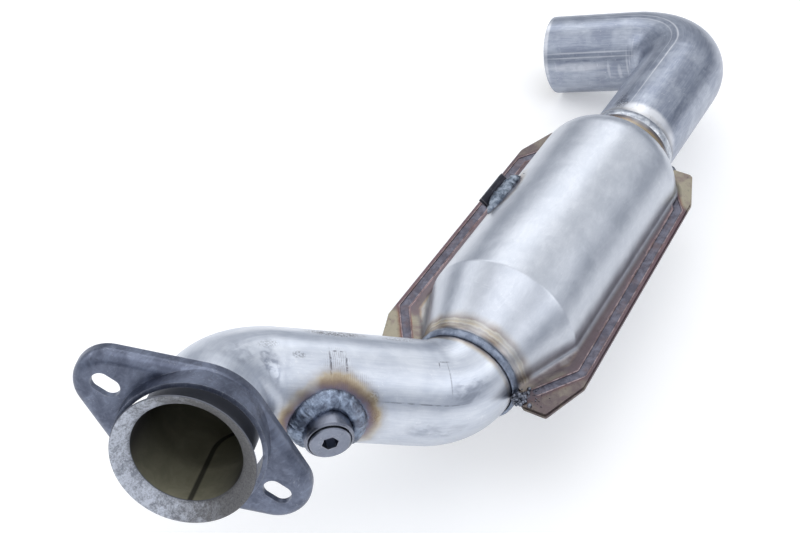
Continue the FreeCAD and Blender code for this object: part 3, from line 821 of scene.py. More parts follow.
class Bead(Tree):
    """A group that lays a rippled bead along a line of points.

    Each point of the line has a "lift", the way that its bead stands up.
    """

    FIELDS = ("Width", "Height", "Step", "Pitch", "Ripple", "Uneven", "Bow", "Taper", "Sink")

    def store(self, geometry: Socket, name: str, value: Socket) -> Socket:
        """Stores a value on the points under a name and returns the geometry."""
        made = self.node("GeometryNodeStoreNamedAttribute", data_type="FLOAT", domain="POINT")
        made.inputs["Name"].default_value = name
        self.link(geometry, made.inputs["Geometry"])
        self.link(value, made.inputs["Value"])
        return made.outputs[0]

    def named(self, name: str, kind: str = "FLOAT") -> Socket:
        """Returns a named attribute."""
        made = self.node("GeometryNodeInputNamedAttribute", data_type=kind)
        made.inputs["Name"].default_value = name
        return made.outputs[0]

    def profile(self) -> Socket:
        """Returns the bead's closed outline, flat below and round above."""
        circle = self.node("GeometryNodeCurvePrimitiveCircle", mode="RADIUS")
        circle.inputs["Resolution"].default_value = 26
        circle.inputs["Radius"].default_value = 1.0
        place = self.node("ShaderNodeSeparateXYZ")
        self.link(self.node("GeometryNodeInputPosition").outputs[0], place.inputs[0])
        across, rise = place.outputs[0], place.outputs[1]
        marked = self.store(circle.outputs[0], "across", across)
        low = self.math("MULTIPLY", self.math("MINIMUM", rise, 0.0), self.given["Sink"])
        high = self.math("MULTIPLY", self.math("MAXIMUM", rise, 0.0), self.given["Height"])
        joined = self.node("ShaderNodeCombineXYZ")
        self.link(self.math("ADD", low, high), joined.inputs[0])
        half = self.math("MULTIPLY", self.given["Width"], 0.5)
        self.link(self.math("MULTIPLY", across, half), joined.inputs[1])
        moved = self.node("GeometryNodeSetPosition")
        self.link(marked, moved.inputs["Geometry"])
        self.link(joined.outputs[0], moved.inputs["Position"])
        return moved.outputs[0]

    def line(self) -> Socket:
        """Returns the bead's centre line, evenly divided, with its run stored and its lift as normal."""
        curve = self.node("GeometryNodeMeshToCurve")
        self.link(self.given["Geometry"], curve.inputs[0])
        even = self.node("GeometryNodeResampleCurve", mode="LENGTH")
        self.link(curve.outputs[0], even.inputs["Curve"])
        self.link(self.given["Step"], even.inputs["Length"])
        stood = self.node("GeometryNodeSetCurveNormal", mode="FREE")
        self.link(even.outputs[0], stood.inputs["Curve"])
        self.link(self.named("lift", "FLOAT_VECTOR"), stood.inputs["Normal"])
        run = self.node("GeometryNodeSplineParameter").outputs["Length"]
        whole = self.node("GeometryNodeSplineLength").outputs["Length"]
        nearest = self.math("MINIMUM", run, self.math("SUBTRACT", whole, run))
        share = self.math("DIVIDE", nearest, self.math("ADD", self.given["Taper"], 1e-5))
        marked = self.store(stood.outputs[0], "run", run)
        return self.store(marked, "fullness", self.math("POWER", self.math("MINIMUM", share, 1.0), 0.5))

    def ripples(self) -> Socket:
        """Returns how far each place stands out: crescents across the bead and an uneven swell."""
        across = self.named("across")
        bowed = self.math("MULTIPLY", self.math("MULTIPLY", across, across), self.given["Bow"])
        place = self.node("GeometryNodeInputPosition").outputs[0]
        jitter = self.node("ShaderNodeTexNoise")
        jitter.inputs["Scale"].default_value = 160.0
        self.link(place, jitter.inputs["Vector"])
        laps = self.math("ADD", self.math("DIVIDE", self.named("run"), self.given["Pitch"]), bowed)
        laps = self.math("ADD", laps, self.math("MULTIPLY", jitter.outputs[0], 1.1))
        saw = self.math("FRACT", laps)
        scale = self.math("MULTIPLY", self.math("POWER", saw, 0.7), self.given["Ripple"])
        lumps = self.node("ShaderNodeTexNoise")
        lumps.inputs["Scale"].default_value = 420.0
        lumps.inputs["Detail"].default_value = 2.0
        self.link(place, lumps.inputs["Vector"])
        swell = self.math("MULTIPLY", self.math("SUBTRACT", lumps.outputs[0], 0.5), self.given["Uneven"])
        slow = self.math("MULTIPLY", self.math("SUBTRACT", jitter.outputs[0], 0.5), self.given["Uneven"])
        return self.math("ADD", scale, self.math("ADD", swell, slow))

    def write(self) -> Socket:
        """Sweeps the outline along the line and raises the ripples."""
        sweep = self.node("GeometryNodeCurveToMesh")
        self.link(self.line(), sweep.inputs["Curve"])
        self.link(self.profile(), sweep.inputs["Profile Curve"])
        sweep.inputs["Fill Caps"].default_value = True
        self.link(self.named("fullness"), sweep.inputs["Scale"])
        return self.pushed(sweep.outputs[0], self.ripples())


class Grains(Tree):
    """A group that sets a rough lump on every point, each as large as the point's "size"."""

    FIELDS = ("Rough", "Coarse")
    SEED = 11

    def write(self) -> Socket:
        """Sets turned balls on the points, makes them one mesh and roughens it."""
        ball = self.node("GeometryNodeMeshIcoSphere")
        ball.inputs["Radius"].default_value = 1.0
        ball.inputs["Subdivisions"].default_value = 3
        turn = self.node("FunctionNodeRandomValue", data_type="FLOAT_VECTOR")
        turn.inputs["Max"].default_value = (6.28, 6.28, 6.28)
        turn.inputs["Seed"].default_value = self.SEED
        size = self.node("GeometryNodeInputNamedAttribute", data_type="FLOAT")
        size.inputs["Name"].default_value = "size"
        placed = self.node("GeometryNodeInstanceOnPoints")
        self.link(self.given["Geometry"], placed.inputs["Points"])
        self.link(ball.outputs[0], placed.inputs["Instance"])
        self.link(turn.outputs[0], placed.inputs["Rotation"])
        self.link(size.outputs[0], placed.inputs["Scale"])
        real = self.node("GeometryNodeRealizeInstances")
        self.link(placed.outputs[0], real.inputs[0])
        lumps = self.node("ShaderNodeTexNoise")
        self.link(self.node("GeometryNodeInputPosition").outputs[0], lumps.inputs["Vector"])
        self.link(self.given["Coarse"], lumps.inputs["Scale"])
        lumps.inputs["Detail"].default_value = 3.0
        height = self.math("MULTIPLY", self.math("SUBTRACT", lumps.outputs[0], 0.5), self.given["Rough"])
        return self.pushed(real.outputs[0], height)


@dataclass(frozen=True)
class BeadSize:
    """A bead's sizes, in metres."""

    width: float
    height: float
    pitch: float = 1.6 * MM
    ripple: float = 0.3 * MM
    uneven: float = 0.5 * MM
    bow: float = 0.9
    taper: float = 0.0
    sink: float = 0.6 * MM
    step: float = 0.4 * MM


Line = tuple[list[Vector], list[Vector], bool]


@dataclass(frozen=True)
class Cluster:
    """Lumps of weld metal thrown about a place, in metres."""

    centre: Vector
    reach: tuple[float, float, float]
    count: int
    smallest: float
    largest: float

    def points(self, luck: random.Random) -> list[tuple[Vector, float]]:
        """Returns each lump's place and size, thickest in the middle."""
        found = []
        for _ in range(self.count):
            off = Vector([luck.gauss(0.0, 0.45) * reach for reach in self.reach])
            found.append((self.centre + off, luck.uniform(self.smallest, self.largest)))
        return found


class Welder:
    """Lays beads along lines, throws spatter, and joins what makes one piece."""

    SEED = 5

    def __init__(self) -> None:
        """Makes the groups that all welds share."""
        self.bead = Bead("Bead")
        self.grains = Grains("Grains")

    def lay(self, name: str, lines: Iterable[tuple[Line, BeadSize]], material: bpy.types.Material,
            clusters: Sequence[Cluster] = ()) -> bpy.types.Object:
        """Returns one piece made of a bead along each line, with lumps about it.

        Args:
            name: The piece's name.
            lines: Points, their lifts and whether the line is closed, each with its bead's size.
            material: The weld metal.
            clusters: Where loose lumps of weld metal stick.
        """
        work = bmesh.new()
        meshes = [self.one(line, size, material) for line, size in lines]
        if clusters:
            meshes.append(self.thrown(clusters, material))
        for mesh in meshes:
            work.from_mesh(mesh)
            bpy.data.meshes.remove(mesh)
        joined = bpy.data.meshes.new(name)
        work.to_mesh(joined)
        work.free()
        joined.materials.append(material)
        return new_object(name, joined)

    def one(self, line: Line, size: BeadSize, material: bpy.types.Material) -> bpy.types.Mesh:
        """Returns the mesh of one bead."""
        points, lifts, closed = line
        count = len(points)
        edges = [(index, (index + 1) % count) for index in range(count if closed else count - 1)]
        mesh = bpy.data.meshes.new("line")
        mesh.from_pydata(points, edges, [])
        mesh.attributes.new("lift", "FLOAT_VECTOR", "POINT").data.foreach_set(
            "vector", np.array(lifts, dtype=np.float32).ravel())
        return self.bead.grow(mesh, {
            "Width": size.width, "Height": size.height, "Step": size.step, "Pitch": size.pitch,
            "Ripple": size.ripple, "Uneven": size.uneven, "Bow": size.bow, "Taper": size.taper,
            "Sink": size.sink, "Material": material})

    def thrown(self, clusters: Sequence[Cluster], material: bpy.types.Material) -> bpy.types.Mesh:
        """Returns the mesh of all lumps in the clusters."""
        luck = random.Random(self.SEED)
        spots = [spot for cluster in clusters for spot in cluster.points(luck)]
        mesh = bpy.data.meshes.new("spots")
        mesh.from_pydata([place for place, _ in spots], [], [])
        sizes = mesh.attributes.new("size", "FLOAT", "POINT")
        sizes.data.foreach_set("value", [size for _, size in spots])
        return self.grains.grow(mesh, {"Rough": 0.7 * MM, "Coarse": 900.0, "Material": material})


# ---------------------------------------------------------------- finishes

def around(recipe: Recipe, place: Socket, centre: Vector, radius: float) -> Socket:
    """Returns the distance to a ring about the body's axis.

    Args:
        recipe: The material being written.
        place: The Object coordinates.
        centre: The ring's centre.
        radius: The ring's radius.
    """
    x, y, z = recipe.split(place)
    out = recipe.hypot(recipe.minus(y, centre.y), recipe.minus(z, centre.z))
    return recipe.hypot(recipe.minus(x, centre.x), recipe.minus(out, radius))


class PipeMark(Enum):
    """The kinds of mark painted on a pipe's outside, each with its colour; the bright kind is partly light
    streaks and partly painted highlight.
    """

    SPECKS = (0.045, 0.045, 0.055)
    TOOLING = (0.25, 0.24, 0.27)
    SMUDGE = (0.19, 0.215, 0.28)
    SCRATCH = (0.10, 0.105, 0.13)
    # Light streaks, and the painted highlight beside the outlet ring bead.
    BRIGHT_AND_HIGHLIGHT = (0.86, 0.87, 0.90)


@dataclass(frozen=True)
class Patch:
    """One mark on a pipe, in metres and degrees.

    It has a run along the centre line, an angle round the wall, and half sizes along and around the pipe.
    """

    run: float
    angle: float
    along: float
    around: float
    wear: PipeMark
    strength: float = 0.6

    def mask(self, recipe: Recipe, unrolled: Socket, texture: Socket) -> Socket:
        """Returns where the mark shows.

        Args:
            recipe: The material being written.
            unrolled: The pipe's unrolled coordinates.
            texture: The pattern of its kind of mark.
        """
        turn = math.radians(self.angle)
        centre = (self.run, LAYOUT.pipe_radius * math.cos(turn), LAYOUT.pipe_radius * math.sin(turn))
        off = recipe.reach(unrolled, centre, (self.along, self.around, self.around))
        near = recipe.fade(off, 0.45, 1.0)
        return recipe.times(recipe.times(near, texture), self.strength)


@dataclass(frozen=True)
class PipeFinish:
    """A pipe's steel, with its tints, its marks and the stained bore.

    Each ring and each spot is a weld that coloured the steel beside it. The outside is darker and duller from
    a run on, with a ragged edge, and the bore is stained, carries painted shade over all but one side, and
    shows the dark line of the tube's own seam.
    """

    metal: Metal
    rings: tuple[tuple[Vector, float, Tint], ...] = ()
    spots: tuple[tuple[Vector, Tint], ...] = ()
    patches: tuple[Patch, ...] = ()
    darkened: float = 1.0
    ragged: float = 12 * MM
    seam_line: float = 8.2 * MM
    bore: Colour = (0.27, 0.26, 0.18)
    stained: Colour = (0.37, 0.35, 0.25)
    shaded: Colour = (0.020, 0.019, 0.021)
    dark_tone: Colour = (0.105, 0.11, 0.135)

    def textures(self, recipe: Recipe, unrolled: Socket) -> dict[PipeMark, Socket]:
        """Returns the pattern of each kind of mark."""
        run, _, _ = recipe.split(unrolled)
        grit = recipe.noise(unrolled, 900.0, 4.0, 0.75)
        cloud = recipe.noise(recipe.scaled(unrolled, (0.6, 1.0, 1.0)), 210.0, 4.0, 0.6, 0.5)
        wobble = recipe.times(recipe.minus(cloud, 0.5), 1.8 * MM)
        strokes = recipe.math("SINE", recipe.times(recipe.plus(run, wobble), 5200.0))
        broken = recipe.fade(recipe.noise(unrolled, 420.0, 2.0), 0.34, 0.56, 0.1, 1.0)
        return {PipeMark.SPECKS: recipe.fade(grit, 0.46, 0.55, 0.0, 1.0),
                PipeMark.TOOLING: recipe.times(recipe.fade(strokes, 0.0, 0.9, 0.1, 1.0), broken),
                PipeMark.SMUDGE: recipe.fade(cloud, 0.38, 0.66, 0.1, 1.0),
                PipeMark.SCRATCH: broken,
                PipeMark.BRIGHT_AND_HIGHLIGHT: recipe.fade(cloud, 0.25, 0.5, 0.45, 1.0)}

    def inside(self, recipe: Recipe, place: Socket, unrolled: Socket) -> Socket:
        """Returns the bore's colour: stained, with painted shade over all but one side, and the dark line of
        the tube's own seam.
        """
        stain = recipe.noise(place, 60.0, 5.0, 0.65, 0.8)
        bore = recipe.mix(recipe.fade(stain, 0.3, 0.75, 0.0, 1.0), self.bore, self.stained)
        _, rise, turned = recipe.split(unrolled)
        # Painted shade over the bore, lighter only along one side.
        bore = recipe.mix(recipe.fade(rise, -34 * MM, -4 * MM, 0.0, 0.95), bore, self.shaded)
        off = recipe.math("ABSOLUTE", recipe.plus(turned, self.seam_line))
        line = recipe.fade(off, 0.8 * MM, 2.2 * MM, 0.85, 0.0)
        return recipe.mix(line, bore, (0.03, 0.028, 0.022))

    def burnt(self, recipe: Recipe, place: Socket, unrolled: Socket) -> Socket:
        """Returns how much darker the outside is, past a ragged edge."""
        run, _, _ = recipe.split(unrolled)
        ragged = recipe.plus(run, recipe.times(recipe.noise(place, 160.0, 4.0, 0.6), self.ragged))
        edge = self.darkened + self.ragged / 2
        return recipe.fade(ragged, edge, edge + 8 * MM, 0.0, 0.9)

    @staticmethod
    def seat(recipe: Recipe, place: Socket, unrolled: Socket) -> Socket:
        """Returns the flared seat's colour: a painted highlight on one side, and painted shade on the other
        and at the top.
        """
        speck = recipe.noise(place, 1000.0, 4.0, 0.75)
        cloud = recipe.noise(place, 150.0, 5.0, 0.7, 1.2)
        mottled = recipe.plus(recipe.times(speck, 0.5), recipe.times(cloud, 0.5))
        worn = recipe.fade(mottled, 0.42, 0.60, 0.0, 0.85)
        # The lit side's colour is a painted highlight, mottled by the speckle.
        bright = recipe.mix(worn, (0.66, 0.69, 0.76), (0.24, 0.255, 0.295))
        grit = recipe.fade(speck, 0.40, 0.66, 0.0, 0.6)
        # The dusky colour is painted shade, speckled with grit.
        dusky = recipe.mix(grit, (0.17, 0.165, 0.16), (0.065, 0.065, 0.07))
        _, rise, across = recipe.split(unrolled)
        # The painted shade covers the top and one side of the seat.
        shade_mask = recipe.minus(recipe.times(rise, 0.45), across)
        shade_mask = recipe.plus(shade_mask, recipe.times(recipe.minus(cloud, 0.5), 50 * MM))
        return recipe.mix(recipe.fade(shade_mask, -30 * MM, 18 * MM, 0.0, 0.94), bright, dusky)

    def make(self) -> bpy.types.Material:
        """Returns the material, which reads the tube's own attributes."""
        recipe = Recipe(self.metal.slot)
        place = recipe.place()
        unrolled = recipe.attribute("unrolled").outputs["Vector"]
        skin = recipe.attribute("skin").outputs["Fac"]
        colour, rough, normal = self.metal.lay(recipe, unrolled)
        patterns = self.textures(recipe, unrolled)
        for patch in self.patches:
            shown = patch.mask(recipe, unrolled, patterns[patch.wear])
            colour = recipe.mix(shown, colour, patch.wear.value)
        for centre, radius, tint in self.rings:
            colour = tinted(recipe, colour, place, around(recipe, place, centre, radius), tint)
        for centre, tint in self.spots:
            colour = tinted(recipe, colour, place, recipe.distance(place, centre), tint)
        # Darker and duller past a run towards the mouth.
        darkened = self.burnt(recipe, place, unrolled)
        colour = recipe.mix(darkened, colour, self.dark_tone)
        off = recipe.math("ABSOLUTE", recipe.minus(skin, Skin.INSIDE.value))
        inside = recipe.fade(off, 0.0, 0.5)
        seat = recipe.fade(skin, 1.5, Skin.SEAT.value, 0.0, 1.0)
        colour = recipe.mix(inside, colour, self.inside(recipe, place, unrolled))
        colour = recipe.mix(seat, colour, self.seat(recipe, place, unrolled))
        dull = recipe.plus(recipe.times(inside, 0.2), recipe.times(darkened, 0.3))
        rough = recipe.plus(rough, dull, clamp=True)
        stained = recipe.math("MAXIMUM", recipe.times(inside, 0.45), recipe.times(darkened, 0.6))
        waves = recipe.bump(recipe.noise(place, 34.0, 2.0, 0.5), 0.5, 1.1 * MM, normal)
        return recipe.finish(colour, rough, recipe.minus(1.0, stained), waves)


@dataclass(frozen=True)
class ShellFinish:
    """The pressed shells: satin over the body, and coloured by the seam welds and the neck welds.

    The bands are the seam flange's colours from its edge inwards, beside the barrel and at the corners.
    """

    metal: Metal
    name: str
    rings: tuple[tuple[Vector, float, Tint], ...]
    spots: tuple[tuple[Vector, Vector, Tint], ...] = ()
    side_bands: tuple[tuple[float, Colour], ...] = (
        (0.0, (0.105, 0.072, 0.085)), (0.13, (0.15, 0.10, 0.11)), (0.17, (0.33, 0.22, 0.23)),
        (0.21, (0.12, 0.10, 0.125)), (0.50, (0.12, 0.10, 0.125)), (0.54, (0.40, 0.29, 0.29)),
        (0.58, (0.15, 0.125, 0.14)), (0.84, (0.17, 0.145, 0.15)), (0.92, (0.34, 0.28, 0.22)),
        (1.0, (0.40, 0.39, 0.38)))
    corner_bands: tuple[tuple[float, Colour], ...] = (
        (0.0, (0.30, 0.275, 0.215)), (0.07, (0.26, 0.215, 0.16)), (0.14, (0.17, 0.085, 0.075)),
        (0.20, (0.14, 0.13, 0.155)), (0.50, (0.14, 0.13, 0.155)), (0.54, (0.21, 0.09, 0.07)),
        (0.60, (0.31, 0.285, 0.22)), (0.78, (0.30, 0.28, 0.235)), (0.90, (0.17, 0.165, 0.165)),
        (1.0, (0.38, 0.37, 0.36)))
    band_start: float = 0.8 * MM
    band_reach: float = 17.5 * MM

    def inset(self, recipe: Recipe, place: Socket) -> tuple[Socket, Socket, Socket]:
        """Returns how far a place lies inside the seam flange's outline, its height and the corner mask."""
        x, y, z = recipe.split(place)
        along = recipe.minus(x, ORIGIN.x)
        left = recipe.minus(y, ORIGIN.y)
        lean = LAYOUT.seam_taper / (2 * LAYOUT.track_corner)
        off = recipe.times(recipe.fade(left, -1 * MM, 1 * MM), lean)
        drawn = recipe.times(off, recipe.plus(along, LAYOUT.track_corner))
        out = recipe.plus(recipe.math("ABSOLUTE", left), drawn)
        side = recipe.minus(LAYOUT.seam_half_width, out)
        end, half = LAYOUT.track_end
        run = end - LAYOUT.track_corner
        rise = LAYOUT.seam_half_width - LAYOUT.track_inset - half
        size = math.hypot(run, rise)
        length = recipe.math("ABSOLUTE", along)
        corner = recipe.times(recipe.minus(length, end), rise / size)
        level = recipe.times(recipe.minus(out, half), run / size)
        corner = recipe.minus(LAYOUT.track_inset, recipe.plus(corner, level))
        height = recipe.math("ABSOLUTE", recipe.minus(z, ORIGIN.z))
        cropped = recipe.fade(length, LAYOUT.track_corner, LAYOUT.track_corner + 8 * MM, 0.0, 1.0)
        return recipe.math("MINIMUM", side, corner), height, cropped

    @staticmethod
    def darker(recipe: Recipe, place: Socket) -> Socket:
        """Returns how burnt the seam flange is: most at its right inlet corner and its left outlet corner."""
        x, y, _ = recipe.split(place)
        left = recipe.fade(y, ORIGIN.y - 20 * MM, ORIGIN.y + 20 * MM, 0.0, 1.0)
        ahead = recipe.fade(x, ORIGIN.x - 70 * MM, ORIGIN.x + 90 * MM, 0.0, 1.0)
        same = recipe.math("ABSOLUTE", recipe.minus(recipe.plus(left, ahead), 1.0))
        return recipe.times(recipe.math("POWER", same, 2.0), 0.85)

    def make(self) -> bpy.types.Material:
        """Returns the material, in Object coordinates."""
        recipe = Recipe(self.name)
        place = recipe.place()
        colour, rough, normal = self.metal.lay(recipe, place)
        for centre, radius, tint in self.rings:
            colour = tinted(recipe, colour, place, around(recipe, place, centre, radius), tint)
        for centre, sizes, tint in self.spots:
            off = recipe.times(recipe.reach(place, centre, sizes), tint.reach)
            colour = tinted(recipe, colour, place, off, tint)
        inset, height, cropped = self.inset(recipe, place)
        wander = recipe.minus(recipe.noise(place, 90.0, 5.0, 0.65, 0.5), 0.5)
        ragged = recipe.plus(inset, recipe.times(wander, 2.2 * MM))
        band = recipe.math("DIVIDE", recipe.plus(ragged, self.band_start), self.band_reach)
        plate = recipe.fade(height, 1.9 * MM, 4.6 * MM)
        flange = recipe.mix(cropped, recipe.ramp(band, self.side_bands),
                            recipe.ramp(band, self.corner_bands))
        cloud = recipe.noise(place, 75.0, 5.0, 0.65, 0.6)
        flange = recipe.mix(recipe.fade(cloud, 0.46, 0.66, 0.0, 0.6), flange, (0.17, 0.12, 0.13))
        burnt = recipe.times(self.darker(recipe, place), recipe.fade(cloud, 0.3, 0.6, 0.55, 1.0))
        flange = recipe.mix(burnt, flange, (0.115, 0.09, 0.10))
        colour = recipe.mix(plate, colour, flange)
        dark_tone = recipe.fade(recipe.noise(place, 260.0, 5.0, 0.7), 0.56, 0.72, 0.0, 0.55)
        near = recipe.fade(inset, 9 * MM, 14 * MM)
        dirt = recipe.times(recipe.times(dark_tone, near), plate)
        colour = recipe.mix(dirt, colour, (0.055, 0.05, 0.05))
        rough = recipe.plus(rough, recipe.times(plate, 0.07), clamp=True)
        pits = recipe.fade(recipe.cells(place, 520.0), 0.10, 0.3, 0.0, 1.0)
        normal = recipe.bump(recipe.mix(plate, (1.0, 1.0, 1.0), pits), 0.35, 0.2 * MM, normal)
        normal = recipe.bump(recipe.noise(place, 26.0, 2.0, 0.5), 0.5, 1.2 * MM, normal)
        return recipe.finish(colour, rough, 1.0, normal)


@dataclass(frozen=True)
class WeldFinish:
    """Blue-grey weld metal with bright crowns and dark hollows."""

    slot: str
    name: str
    crown: Colour = (0.26, 0.30, 0.38)
    hollow: Colour = (0.12, 0.14, 0.19)
    flush: Colour = (0.20, 0.16, 0.15)
    roughness: float = 0.40
    warmth: float = 0.55

    def make(self) -> bpy.types.Material:
        """Returns the material, in Object coordinates."""
        recipe = Recipe(self.name)
        place = recipe.place()
        clouds = recipe.noise(place, 210.0, 4.0, 0.6, 0.5)
        colour = recipe.mix(recipe.fade(clouds, 0.35, 0.68, 0.0, 1.0), self.hollow, self.crown)
        warm = recipe.noise(place, 75.0, 3.0, 0.6)
        colour = recipe.mix(recipe.fade(warm, 0.5, 0.7, 0.0, self.warmth), colour, self.flush)
        pits = recipe.fade(recipe.cells(place, 900.0), 0.05, 0.24, 0.0, 1.0)
        colour = recipe.mix(recipe.fade(pits, 0.0, 0.8, 0.7, 0.0), colour, (0.02, 0.02, 0.025))
        fine = recipe.noise(place, 1500.0, 3.0, 0.6)
        normal = recipe.bump(recipe.plus(pits, recipe.times(fine, 0.5)), 0.4, 0.16 * MM)
        rough = recipe.plus(recipe.times(clouds, 0.2), self.roughness - 0.08, clamp=True)
        return recipe.finish(colour, rough, 1.0, normal)


@dataclass(frozen=True)
class PlainFinish:
    """A metal with edges worn bright and dark grime in patches."""

    metal: Metal
    worn: Colour = (0.62, 0.63, 0.65)
    wear: float = 0.5
    grime: Colour = (0.05, 0.05, 0.055)
    edge_reach: float = 1.2 * MM

    def make(self) -> bpy.types.Material:
        """Returns the material, in Object coordinates."""
        recipe = Recipe(self.metal.slot)
        place = recipe.place()
        colour, rough, normal = self.metal.lay(recipe, place)
        geometry = recipe.add("NewGeometry")
        bevel = recipe.add("Bevel")
        bevel.inputs["Radius"].default_value = self.edge_reach
        turn = recipe.add("VectorMath")
        turn.operation = "DOT_PRODUCT"
        recipe.feed(turn.inputs[0], bevel.outputs[0])
        recipe.feed(turn.inputs[1], geometry.outputs["Normal"])
        edge = recipe.fade(turn.outputs["Value"], 0.80, 0.98, self.wear, 0.0)
        patchy = recipe.fade(recipe.noise(place, 180.0, 4.0, 0.6), 0.36, 0.6, 0.25, 1.0)
        colour = recipe.mix(recipe.times(edge, patchy), colour, self.worn)
        rough = recipe.plus(rough, recipe.times(edge, 0.5), clamp=True)
        grime = recipe.fade(recipe.noise(place, 240.0, 5.0, 0.7, 0.6), 0.58, 0.75, 0.0, 0.45)
        colour = recipe.mix(grime, colour, self.grime)
        return recipe.finish(colour, rough, 1.0, normal)


@dataclass(frozen=True)
class BlockFinish:
    """A matt block: coated honeycomb, fibre mat or knitted wire."""

    slot: str
    light: Colour
    dark: Colour
    scale: float
    metal: float = 0.0
    roughness: float = 0.85

    def make(self) -> bpy.types.Material:
        """Returns the material, in Object coordinates."""
        recipe = Recipe(self.slot)
        place = recipe.place()
        _, y, z = recipe.split(place)
        rows = recipe.math("SINE", recipe.times(y, self.scale))
        columns = recipe.math("SINE", recipe.times(z, self.scale))
        grid = recipe.fade(recipe.math("MAXIMUM", rows, columns), 0.4, 0.95)
        flecks = recipe.noise(place, self.scale * 0.3, 3.0)
        # On the honeycomb the dark cells are painted shade in its open channels.
        holes = recipe.times(grid, recipe.fade(flecks, 0.3, 0.7, 0.6, 1.0))
        colour = recipe.mix(holes, self.light, self.dark)
        normal = recipe.bump(grid, 0.5, 0.4 * MM)
        return recipe.finish(colour, self.roughness, self.metal, normal)


# ---------------------------------------------------------------- sub-assemblies

@dataclass(frozen=True)
class Part:
    """What every sub-assembly knows: its body, and the welder that lays its beads."""

    welder: Welder
    body: Body = Body.CONVERTER

    def stand_in(self, piece: bpy.types.Object, nodes: Sequence[str], slot: str) -> None:
        """Attaches a piece that shows in place of CAD nodes to its body, and hides those nodes.

        Args:
            piece: The piece.
            nodes: The CAD nodes that it replaces, none for one that is added.
            slot: Not used.
        """
        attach(piece, self.body.value)
        if nodes:
            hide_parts(*nodes)
        replaced = ", ".join(nodes) or "nothing"
        LOG.info("%s made, %d faces, in place of %s", piece.name, len(piece.data.polygons), replaced)


def ring_line(centre: Vector, radius: float, count: int = 240) -> Line:
    """Returns a closed ring about the body's axis, with lifts straight out."""
    points, lifts = [], []
    for step in range(count):
        angle = 2 * math.pi * step / count
        out = Vector((0, math.cos(angle), math.sin(angle)))
        points.append(centre + out * radius)
        lifts.append(out)
    return points, lifts, True


@dataclass(frozen=True)
class InletPipe(Part):
    """The bent inlet pipe with its flared mouth."""

    ring_step: float = 2.0 * MM
    flatten: float = 0.45 * MM
    die_mark: float = 0.12 * MM
    die_width: float = 1.6 * MM
    thinning: float = 0.62
    dents: tuple[Dent, ...] = (
        Dent(0.070, 2.2, 0.009, 0.22 * MM), Dent(0.092, 3.3, 0.007, 0.2 * MM),
        Dent(0.120, 1.2, 0.010, 0.25 * MM), Dent(0.150, 2.9, 0.008, 0.22 * MM),
        Dent(0.175, 0.4, 0.012, 0.2 * MM))

    @property
    def route(self) -> Route:
        """The centre line in the row frame."""
        return LAYOUT.inlet().moved(ORIGIN)

    def drawn_in(self, distance: float, angle: float) -> float:
        """Returns how far the wall is drawn in: flattened bends, die marks and dents."""
        depth = 0.0
        for start, end in self.route_bends:
            within = hump(distance, start + 12 * MM, end - 12 * MM, 12 * MM)
            depth += self.flatten * within * (0.5 + 0.5 * math.cos(2 * angle + 0.8))
            for mark in (start, end):
                if mark > LAYOUT.engagement + 2 * MM:
                    depth += self.die_mark * math.exp(-((distance - mark) / self.die_width) ** 2)
        return depth + sum(dent.depth_at(distance, angle, LAYOUT.pipe_radius) for dent in self.dents)

    @property
    def route_bends(self) -> list[tuple[float, float]]:
        """Where the bends start and end."""
        return LAYOUT.inlet().bends()

    def rows(self) -> list[Row]:
        """Returns the rings over the outside, the flare's rim and seat, and back through the bore."""
        length = LAYOUT.inlet().length
        outer = LAYOUT.pipe_radius
        bore = outer - LAYOUT.pipe_wall
        rim = outer + LAYOUT.flare_rise
        back = LAYOUT.flare_back
        slope = math.tan(LAYOUT.flare_slope)
        inner_rim = rim - LAYOUT.pipe_wall / math.cos(LAYOUT.flare_slope) * self.thinning
        seat = (inner_rim - bore) / slope
        out = [Row(d, outer, Skin.OUTSIDE) for d in spread(0.0, length - back - 2.5 * MM, self.ring_step)]
        soft = 2.2 * MM
        for share in (0.25, 0.5, 0.75, 1.0):
            lift = share * share * soft * slope / 4
            out.append(Row(length - back - soft / 2 + share * soft, outer + lift * 2, Skin.OUTSIDE))
        for share in (0.45, 0.7, 0.95):
            away = back - (back - LAYOUT.flare_lip) * share
            out.append(Row(length - away, outer + LAYOUT.flare_rise * share, Skin.OUTSIDE))
        out += [Row(length - 0.7 * MM, rim - 0.05 * MM, Skin.OUTSIDE),
                Row(length - 0.2 * MM, rim - 0.2 * MM, Skin.OUTSIDE),
                Row(length, rim - 0.5 * MM, Skin.SEAT),
                Row(length, inner_rim + 0.3 * MM, Skin.SEAT)]
        for share in (0.05, 0.3, 0.6, 0.85):
            out.append(Row(length - seat * share, inner_rim - (inner_rim - bore) * share, Skin.SEAT))
        out.append(Row(length - seat - 0.4 * MM, bore + 0.2 * MM, Skin.SEAT))
        back_through = spread(length - seat - 1.6 * MM, 0.0, self.ring_step * 2)
        out += [Row(d, bore, Skin.INSIDE) for d in back_through]
        return out

    def shape(self, distance: float, angle: float) -> float:
        """Returns the drawn-in depth, none of it near the flare or inside the neck."""
        length = LAYOUT.inlet().length
        keep = hump(distance, LAYOUT.engagement + 12 * MM, length - 24 * MM, 6 * MM)
        return self.drawn_in(distance, angle) * keep

    def build(self, finish: PipeFinish) -> None:
        """Makes the pipe and gives it its finish."""
        piece = Tube("inlet_tube", self.route, self.rows(), self.shape).build()
        piece.data.materials.append(finish.make())
        self.stand_in(piece, ["inlet_pipe"], finish.metal.slot)


